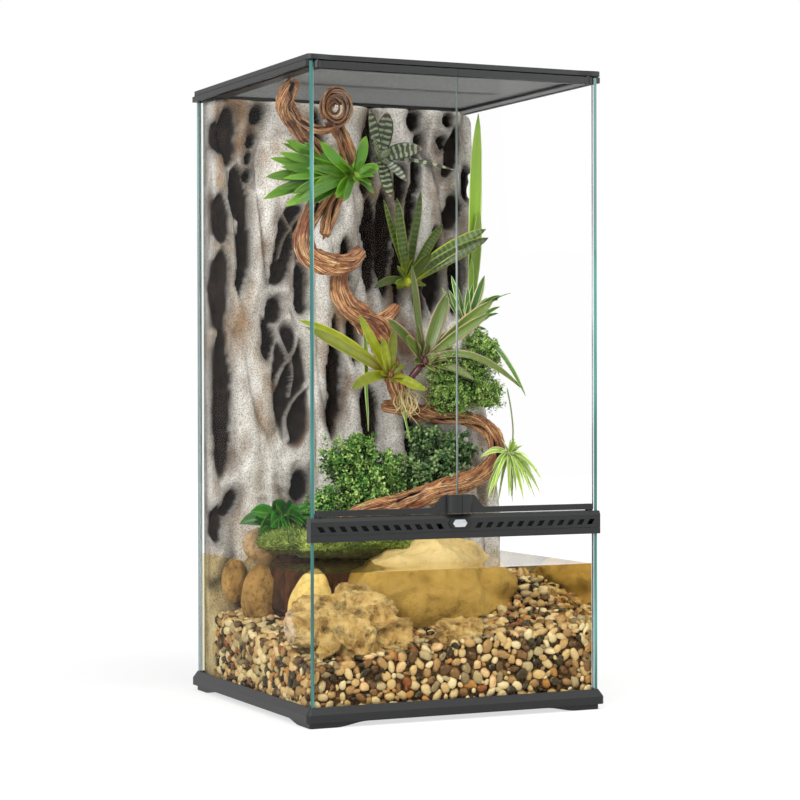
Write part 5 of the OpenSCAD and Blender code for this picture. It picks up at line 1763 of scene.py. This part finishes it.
# Each measured leaf of a plant: the laid-out place of its tip, its width and how far it bows up
LEAVES: dict[str, tuple[tuple[float, float, float, float, float], ...]] = {
    "bromeliad_green": (
        (-206, -4, 740, 20, 18), (-204, -10, 772, 22, 6), (-196, -8, 800, 20, 0), (-172, -8, 828, 20, -4),
        (-146, -14, 824, 20, -6), (-183, -34, 728, 20, 10), (-154, -46, 730, 20, 8), (-112, -54, 742, 20, 6),
        (-52, -28, 836, 20, 0), (-32, -30, 790, 18, 6), (-48, -46, 750, 18, 6), (-102, -50, 794, 20, 4),
        (-190, -24, 754, 18, 10), (-184, -20, 786, 18, 6), (-160, -26, 806, 18, 0), (-140, -40, 760, 18, 6),
        (-150, -36, 784, 18, 4),
    ),
    "bromeliad_banded": (
        (54, 128, 893, 24, 0), (104, 110, 836, 22, 8), (160, 108, 805, 6, 10), (20, 120, 892, 18, 0),
        (55, 120, 760, 16, 6), (76, 105, 785, 16, 8), (20, 108, 850, 14, 0),
    ),
    "bromeliad_upper": (
        (60, 108, 758, 18, 0), (102, 108, 772, 20, 0), (131, 92, 719, 20, 4), (201, 80, 712, 24, 14),
        (199, 68, 698, 22, 6), (107, 82, 671, 16, 4), (42, 118, 756, 12, 0), (20, 106, 618, 12, 16),
    ),
    "bromeliad_center": (
        (51, 34, 651, 17, 0), (112, 36, 609, 20, 0), (186, 26, 599, 18, 4), (170, 8, 578, 14, 6),
        (139, -4, 477, 17, 12), (2, 16, 568, 16, 12), (22, -6, 541, 16, 8), (137, 56, 555, 15, 6),
        (211, -22, 462, 13, 60), (46, 6, 561, 14, 0),
    ),
    "bromeliad_left": (
        (-131, 14, 555, 18, 6), (-42, 22, 575, 16, 0), (-67, -6, 463, 16, 16), (47, -22, 460, 18, 6),
        (-133, 40, 566, 12, 24), (8, 6, 552, 14, 0), (-10, 8, 540, 14, 0),
    ),
    "spider_plant_upper": (
        (200, 84, 637, 14, 0), (208, 10, 610, 8, 24), (138, 84, 617, 9, 0), (163, 64, 600, 9, 0), (207, 44, 590, 8, 10),
        (180, 60, 532, 9, 30), (212, -30, 452, 10, 50), (150, 100, 640, 8, 0), (182, 88, 628, 10, 0),
        (146, 70, 590, 8, 6), (192, 60, 604, 8, 10),
    ),
    "spider_plant_lower": (
        (146, -32, 297, 9, 18), (167, -24, 288, 9, 22), (188, -32, 292, 9, 20), (202, -42, 295, 9, 22),
        (210, -78, 308, 9, 24), (210, -84, 327, 9, 24), (209, -46, 348, 8, 16), (146, -6, 359, 8, 14),
        (206, -18, 372, 7, 6), (190, -34, 388, 7, 0), (156, -34, 312, 7, 24), (178, -40, 300, 7, 24),
        (210, -62, 300, 7, 26), (206, -60, 338, 7, 18), (160, -18, 338, 7, 16), (198, -52, 318, 7, 22),
    ),
    "tall_leaf_plant": (
        (211, 122, 745, 17, 0), (212, 128, 898, 24, 0), (190, 110, 668, 12, 0),
    ),
    "broadleaf_plant": (
        (-210, 84, 263, 34, 12), (-201, 62, 282, 32, 8), (-166, 60, 296, 34, 4), (-122, 60, 283, 32, 4),
        (-110, 46, 264, 30, 7), (-124, 40, 240, 28, 13), (-178, 38, 260, 34, 11), (-82, 72, 288, 22, 5),
        (-96, 50, 250, 26, 10), (-150, 36, 244, 28, 12), (-190, 56, 250, 30, 12), (-150, 2, 232, 26, 26),
        (-126, -20, 242, 26, 30), (-168, 18, 238, 28, 22), (-104, -34, 250, 24, 30), (-140, 8, 262, 28, 18),
        (-84, -10, 262, 22, 24),
    ),
}


@dataclass
class Rosette:
    """A plant of leaves that spring from one heart."""

    name: str
    node: str
    heart: Point
    root: Point
    heart_size: float
    finish: Finish
    slot: str = "variegated_leaf"
    outline: Outline = Outline.STRAP
    fold: float = 0.28
    inner: int = 5
    inner_length: float = 38.0
    inner_width: float = 12.0
    wider: float = 1.0
    twins: int = 0  # extra leaves beside each measured one
    seed: int = 1
    reach: float = 212.0  # how far from the middle a twin's tip may lie

    def build(self, tank: Tank) -> None:
        """Builds the measured leaves, shorter ones in the heart, and the foot they grow from.

        Args:
            tank: The tank's layout.
        """
        rng = np.random.default_rng(self.seed)
        shell = Shell()
        heart = np.array(self.heart, float)
        for *tip, width, rise in LEAVES[self.node]:
            wide = width * self.wider
            facing = unit(np.array((0.2, -1.0, 0.4)) + rng.normal(0, 0.22, 3))
            Blade(heart, tip, wide, rise, self.outline, self.fold, facing, 0.04, rng.random()).put(shell, tank)
            for _ in range(self.twins):
                way = (np.array(tip) - heart) * rng.uniform(0.72, 0.95)
                beside = heart + way + rng.normal(0, 0.13, 3) * np.linalg.norm(way)
                beside[0] = np.clip(beside[0], -self.reach, self.reach)
                Blade(
                    heart, beside, wide * 0.85, rise + rng.normal(0, 5), self.outline, self.fold,
                    facing + rng.normal(0, 0.25, 3), 0.05, rng.random(),
                ).put(shell, tank)
        for k in range(self.inner):
            a = math.tau * (k + rng.random() * 0.6) / max(self.inner, 1)
            way = np.array((math.cos(a), -0.55 - 0.3 * rng.random(), 0.45 + math.sin(a) * 0.8))
            length = self.inner_length * rng.uniform(0.6, 1.0)
            Blade(
                heart, heart + unit(way) * length, self.inner_width * rng.uniform(0.7, 1.1) * self.wider,
                length * 0.12, self.outline, self.fold + 0.15, way + (0.2, -0.6, 0.4), 0.05, rng.random(), 0.7, 10, 5,
            ).put(shell, tank)
        foot = Lump(self.heart, (self.heart_size * 0.55,) * 2 + (self.heart_size * 0.7,), self.seed, 1.0, 0.1, 0.1, 8)
        corners, faces = take_ball(foot.build("heart_blank", tank, 3))
        shell.put(corners, faces, np.tile((0.3, 0.02), (len(corners), 1)), tone=0.4)
        self.stalk(shell, tank, np.linspace(self.heart, self.root, 6), self.heart_size * 0.42)
        settle(shell.link(self.name), self.finish, self.slot, self.node)

    @staticmethod
    def stalk(shell: Shell, tank: Tank, route: Array, radius: float, tone: float = 0.3) -> None:
        """Adds a plain round stalk along a route.

        Args:
            shell: Takes the stalk.
            tank: The tank's layout.
            route: Laid-out places along its middle.
            radius: Its radius in millimetres.
            tone: Its place between the finish's dark and light colour.
        """
        sides = 8
        path = tank.at(np.asarray(route, float)) / MM
        _, side, up = carried_frames(path)
        a = (np.arange(sides) * math.tau / sides)[None, :, None]
        rings = path[:, None] + radius * (np.cos(a) * side[:, None] + np.sin(a) * up[:, None])
        for end in (0, -1):
            rings[end] = path[end] + (rings[end] - path[end]) * 0.2
        shell.tube(rings, np.tile((0.3, 0.02), (len(path) * sides, 1)), tone=tone)


@dataclass
class LeafCloud:
    """A mass of sprigs with small leaves that grow from one or more dark bodies, painted as the shade deep in the mass.
    """

    name: str
    node: str
    bodies: Sequence[Lump]
    finish: Finish
    sprigs: int
    leaves: int
    size: float
    round: float = 0.75
    inside: float = 0.5  # where a sprig starts, as a share of the way out
    droop: float = 8.0
    reach: tuple[float, float] = (0.7, 1.3)
    seed: int = 3

    def grow(self, shell: Shell, tank: Tank, body: Lump, sprigs: int, rng: np.random.Generator) -> None:
        """Grows sprigs outwards from one body, with leaves in a spiral round each.

        Args:
            shell: Takes the leaves.
            tank: The tank's layout.
            body: Where the sprigs grow.
            sprigs: Number of sprigs.
            rng: Source of the random draws.
        """
        out = unit(rng.normal(0, 1, (sprigs, 3)) + (0, -0.35, 0.15))
        middle = np.array(body.middle)
        skin = body.shape(out)
        tip = middle + (skin - middle) * rng.uniform(*self.reach, (sprigs, 1))
        root = middle + (skin - middle) * self.inside + rng.normal(0, 6, out.shape)
        t = np.linspace(0.12, 1, self.leaves)[None, :, None]
        bend = rng.normal(0, 7, (sprigs, 1, 3)) + (0, 0, self.droop)
        place = root[:, None] + (tip - root)[:, None] * t + bend * t * (1 - t) * 2
        ahead = np.broadcast_to(unit(tip - root)[:, None], place.shape)
        angle = np.arange(self.leaves)[None, :] * 2.4 + rng.random((sprigs, 1)) * 6
        first = unit(np.cross(ahead, (0.3, 0.2, 0.9)))
        second = np.cross(ahead, first)
        spread = np.cos(angle)[..., None] * first + np.sin(angle)[..., None] * second
        way = unit(spread + 0.5 * ahead + rng.normal(0, 0.25, place.shape))
        face = unit(ahead - way * (ahead * way).sum(-1, keepdims=True) + rng.normal(0, 0.2, place.shape))
        side = unit(np.cross(way, face))
        size = self.size * rng.uniform(0.65, 1.2, place.shape[:2])[..., None] * (1.1 - 0.45 * t)
        wide = self.round * size / 2
        belly = place + way * size * 0.48
        left, right = belly + side * wide + face * size * 0.1, belly - side * wide + face * size * 0.1
        leaf = (place, left, place + way * size, right, belly, belly - face * size * 0.05)
        order = np.array(((0, 4, 1), (1, 4, 2), (0, 3, 4), (3, 2, 4), (0, 1, 5), (1, 2, 5), (0, 5, 3), (3, 5, 2)))
        faces = (order[None] + (np.arange(sprigs * self.leaves) * len(leaf))[:, None, None]).reshape(-1, 3)
        # each leaf's tone rises from the sprig's inner end to its tip and differs from sprig to sprig
        tone = 0.1 + 0.5 * t[..., 0] + 0.45 * rng.random((sprigs, 1)) ** 1.5 + rng.normal(0, 0.12, place.shape[:2])
        limit = np.array((tank.inner_x - 0.001, 9.0, 9.0))
        placed = np.clip(tank.at(np.stack(leaf, axis=2).reshape(-1, 3)), -limit, limit)
        shell.put(placed, faces, tone=np.repeat(np.clip(tone, 0, 1).ravel(), len(leaf)))

    def build(self, tank: Tank) -> None:
        """Shares the sprigs out among the bodies by their skin, and fills each with a dark body painted as the shade
        inside the mass.

        Args:
            tank: The tank's layout.
        """
        rng = np.random.default_rng(self.seed)
        skins = [sum(body.half) ** 2 for body in self.bodies]
        shell = Shell()
        for body, skin in zip(self.bodies, skins):
            self.grow(shell, tank, body, round(self.sprigs * skin / sum(skins)), rng)
        settle(shell.link(self.name), self.finish, "green_leaf", self.node)
        for number, body in enumerate(self.bodies):
            half = tuple(h * (self.inside + 0.1) for h in body.half)
            # painted shade: a dark body inside each mass of leaves
            shade_core = Lump(body.middle, half, body.seed, body.blocky, 0.08, 0.3, 20)
            shadow = Earth("leaf_shadow", "#33511f", "#0d1808", 6)
            settle(shade_core.build(f"{self.name}_core_{number}", tank, 4), shadow, "green_leaf")


@dataclass
class Planting:
    """All plants of the tank, each at its own perch."""

    air_roots: int = 46
    root_seed: int = 21

    def rosettes(self) -> list[Rosette]:
        """Lists the plants with strap or broad leaves.

        Returns:
            The plants, each with its finish.
        """
        green = LeafBlade("fresh_green_leaf", "#8ea34a", "#4d7a28", "#6f9438", "#86a64c", 0.86, rib="#3a6a22")
        banded = LeafBlade(
            "banded_leaf", "#4d5a3c", "#2f3c26", "#5c3a34", "#28341f", 0.8, "#b4bd98", 0.8, 8, "#3b4a30", 0.36
        )
        dark = LeafBlade(
            "dark_leaf_pale_foot", "#bcc44a", "#415a28", "#243a1c", "#b0ba58", 0.84, "#a9b548", 0.25, 17, "#5f7634"
        )
        maroon = LeafBlade("maroon_foot_leaf", "#5e2433", "#5c7032", "#546a30", "#b39a82", 0.78, rib="#7f8f4a")
        lime = LeafBlade("lime_leaf", "#7d3a2c", "#8b9234", "#6f832f", "#b0ac52", 0.82, "#6b7e2c", 0.35, 6, "#78822c")
        striped = LeafBlade("striped_leaf", "#a9b86a", "#4f7c36", "#5a8a3e", "#dfe2b0", 0.7, rib="#3f6a2c")
        pale = LeafBlade("pale_lime_leaf", "#d3dc9a", "#a4c45a", "#b5d06a", "#e4ecb8", 0.62, rib="#7faa44")
        tall = LeafBlade("tall_lime_leaf", "#6a8c34", "#7b9a3a", "#8ba84a", "#b9cb80", 0.8, rib="#66872f")
        broad = LeafBlade(
            "broad_glossy_leaf", "#6b8838", "#3d7a2e", "#34702a", "#4a8436", 0.9, rib="#96ae52", gloss=0.25
        )
        return [
            Rosette(
                "green_bromeliad", "bromeliad_green", (-70, -28, 776), (-82, 4, 768), 12,
                green, "green_leaf", inner=6, inner_length=34, wider=0.95, twins=1, seed=3,
            ),
            Rosette(
                "banded_bromeliad", "bromeliad_banded", (46, 138, 822), (48, 170, 822), 9,
                banded, inner=3, inner_length=26, wider=1.2, seed=4,
            ),
            Rosette(
                "upper_bromeliad", "bromeliad_upper", (88, 128, 630), (90, 172, 622), 11,
                dark, inner_length=44, inner_width=15, fold=0.5, seed=5,
            ),
            Rosette(
                "central_bromeliad", "bromeliad_center", (76, 44, 505), (44, 58, 462), 13,
                maroon, inner=7, inner_length=40, wider=1.2, fold=0.5, seed=6,
            ),
            Rosette(
                "left_bromeliad", "bromeliad_left", (12, 30, 484), (32, 56, 484), 11,
                lime, inner=6, inner_length=36, wider=1.1, fold=0.45, seed=7,
            ),
            Rosette(
                "upper_striped_plant", "spider_plant_upper", (170, 86, 556), (164, 70, 520), 8,
                striped, "variegated_leaf", Outline.STRAP, 0.35, 6, 50, 9, 1.1, 1, 8,
            ),
            Rosette(
                "lower_striped_plant", "spider_plant_lower", (196, -6, 364), (197, 26, 358), 7,
                pale, "variegated_leaf", Outline.GRASS, 0.35, 8, 36, 6, twins=1, seed=9,
            ),
            Rosette(
                "tall_leaf", "tall_leaf_plant", (200, 128, 592), (200, 140, 580), 6,
                tall, "green_leaf", inner=0, seed=10,
            ),
            Rosette(
                "broadleaf", "broadleaf_plant", (-138, 84, 268), (-132, 99, 231), 12,
                broad, "green_leaf", Outline.OVATE, 0.2, 5, 36, 22, wider=0.9, twins=1, seed=11,
            ),
        ]

    def clouds(self) -> list[LeafCloud]:
        """Lists the masses of small leaves.

        Returns:
            The creeper over the perch and the undergrowth at both sides.
        """
        creeper = [
            Lump((143, 50, 478), (58, 38, 54), 4, 1.0, 0.08, 0.12, 26), Lump((172, 42, 514), (32, 26, 32), 5),
            Lump((120, 48, 448), (34, 28, 28), 6), Lump((180, 42, 452), (28, 26, 26), 7),
            Lump((112, 52, 500), (26, 24, 24), 8),
        ]
        left = [
            Lump((-26, 50, 306), (74, 42, 44), 5, 0.9, 0.08, 0.2, 30), Lump((-60, 54, 346), (36, 30, 40), 6),
            Lump((6, 48, 334), (44, 32, 36), 7), Lump((-88, 44, 286), (30, 30, 26), 8),
            Lump((-30, 56, 366), (30, 26, 26), 9),
        ]
        right = [
            Lump((98, 60, 346), (50, 34, 38), 6, 1.0, 0.08, 0.2, 26), Lump((138, 58, 366), (32, 26, 30), 7),
            Lump((64, 58, 328), (32, 28, 24), 8), Lump((84, 60, 384), (28, 24, 22), 9),
        ]
        bright = SmallLeaves("fine_bright_leaf", "#2c5218", "#7fb040", "#d6ea8c")
        fresh = SmallLeaves("fresh_small_leaf", "#173a0e", "#5c9a34", "#cbe684")
        dark = SmallLeaves("round_dark_leaf", "#14300f", "#4a7a38", "#b0c886")
        return [
            LeafCloud(
                "creeper_leaves", "creeper_cushion", creeper, bright, 760, 16, 6.6, 0.6, 0.5, 5, (0.75, 1.25), 31
            ),
            LeafCloud(
                "undergrowth_left_leaves", "undergrowth_left", left, fresh, 460, 13, 10.0, 0.6, 0.35, 10,
                (0.65, 1.35), 32,
            ),
            LeafCloud(
                "undergrowth_right_leaves", "undergrowth_right", right, dark, 260, 9, 10.5, 0.95, 0.4, 6, (0.7, 1.3), 33
            ),
        ]

    def strings(self, tank: Tank) -> None:
        """Hangs the thin leaves and fine stems that are no part of a rosette.

        Args:
            tank: The tank's layout.
        """
        hanging, runner, roots = Shell(), Shell(), Shell()
        for foot, tip, width in (((-22, 46, 556), (-27, 24, 400), 9), ((42, 53, 456), (40, 20, 385), 7)):
            Blade(foot, tip, width, 0, Outline.GRASS, 0.3, (0.5, -1, 0.1), 0.1, 0.6, 0.7, 20, 5).put(hanging, tank)
        thin = LeafBlade("thin_striped_leaf", "#8fae50", "#6f9a3c", "#8fae4a", "#d8e0a0", 0.66)
        settle(hanging.link("thin_hanging_leaves"), thin, "green_leaf", "hanging_leaves")
        route = smooth_path(((204, 16, 465), (206, 6, 430), (204, -4, 395), (199, -6, 368)), 6)
        Rosette.stalk(runner, tank, route, 1.2, 0.4)
        settle(runner.link("runner_stem"), SmallLeaves("green_stem", middle="#7c8f45"), "variegated_leaf")
        rng = np.random.default_rng(self.root_seed)
        for _ in range(self.air_roots):
            start = np.array((46, 52, 462)) + rng.normal(0, 5, 3)
            end = np.array((48, 44, 425)) + rng.normal(0, 1, 3) * (13, 6, 7)
            bend = (start + end) / 2 + rng.normal(0, 1, 3) * (9, 6, 5) + (0, -8, 0)
            Rosette.stalk(roots, tank, smooth_path((start, bend, end), 5), 0.5, rng.random())
        cream = SmallLeaves("cream_root", "#b9a268", "#dcc88e", "#efe3b8")
        settle(roots.link("air_roots"), cream, "vine_wood")

    def build(self, tank: Tank) -> None:
        """Plants the tank.

        Args:
            tank: The tank's layout.
        """
        for plant in (*self.rosettes(), *self.clouds()):
            plant.build(tank)
        self.strings(tank)


def main() -> None:
    """Builds the scene piece by piece."""
    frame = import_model()
    studio = Studio()
    studio.camera()
    studio.light()
    studio.floor()
    tank = Tank()
    ShellDressing().finish(frame["nodes"])
    WireCloth().build()
    background = Background()
    background.build(tank)
    stones = Stones()
    stones.build(tank)
    GravelBed().build(tank, stones, background)
    for part in (Water(), LandBank(), Vines(), Planting()):
        part.build(tank)


if __name__ == "__main__":
    logging.basicConfig(level=logging.INFO, format="%(name)s %(message)s")
    main()
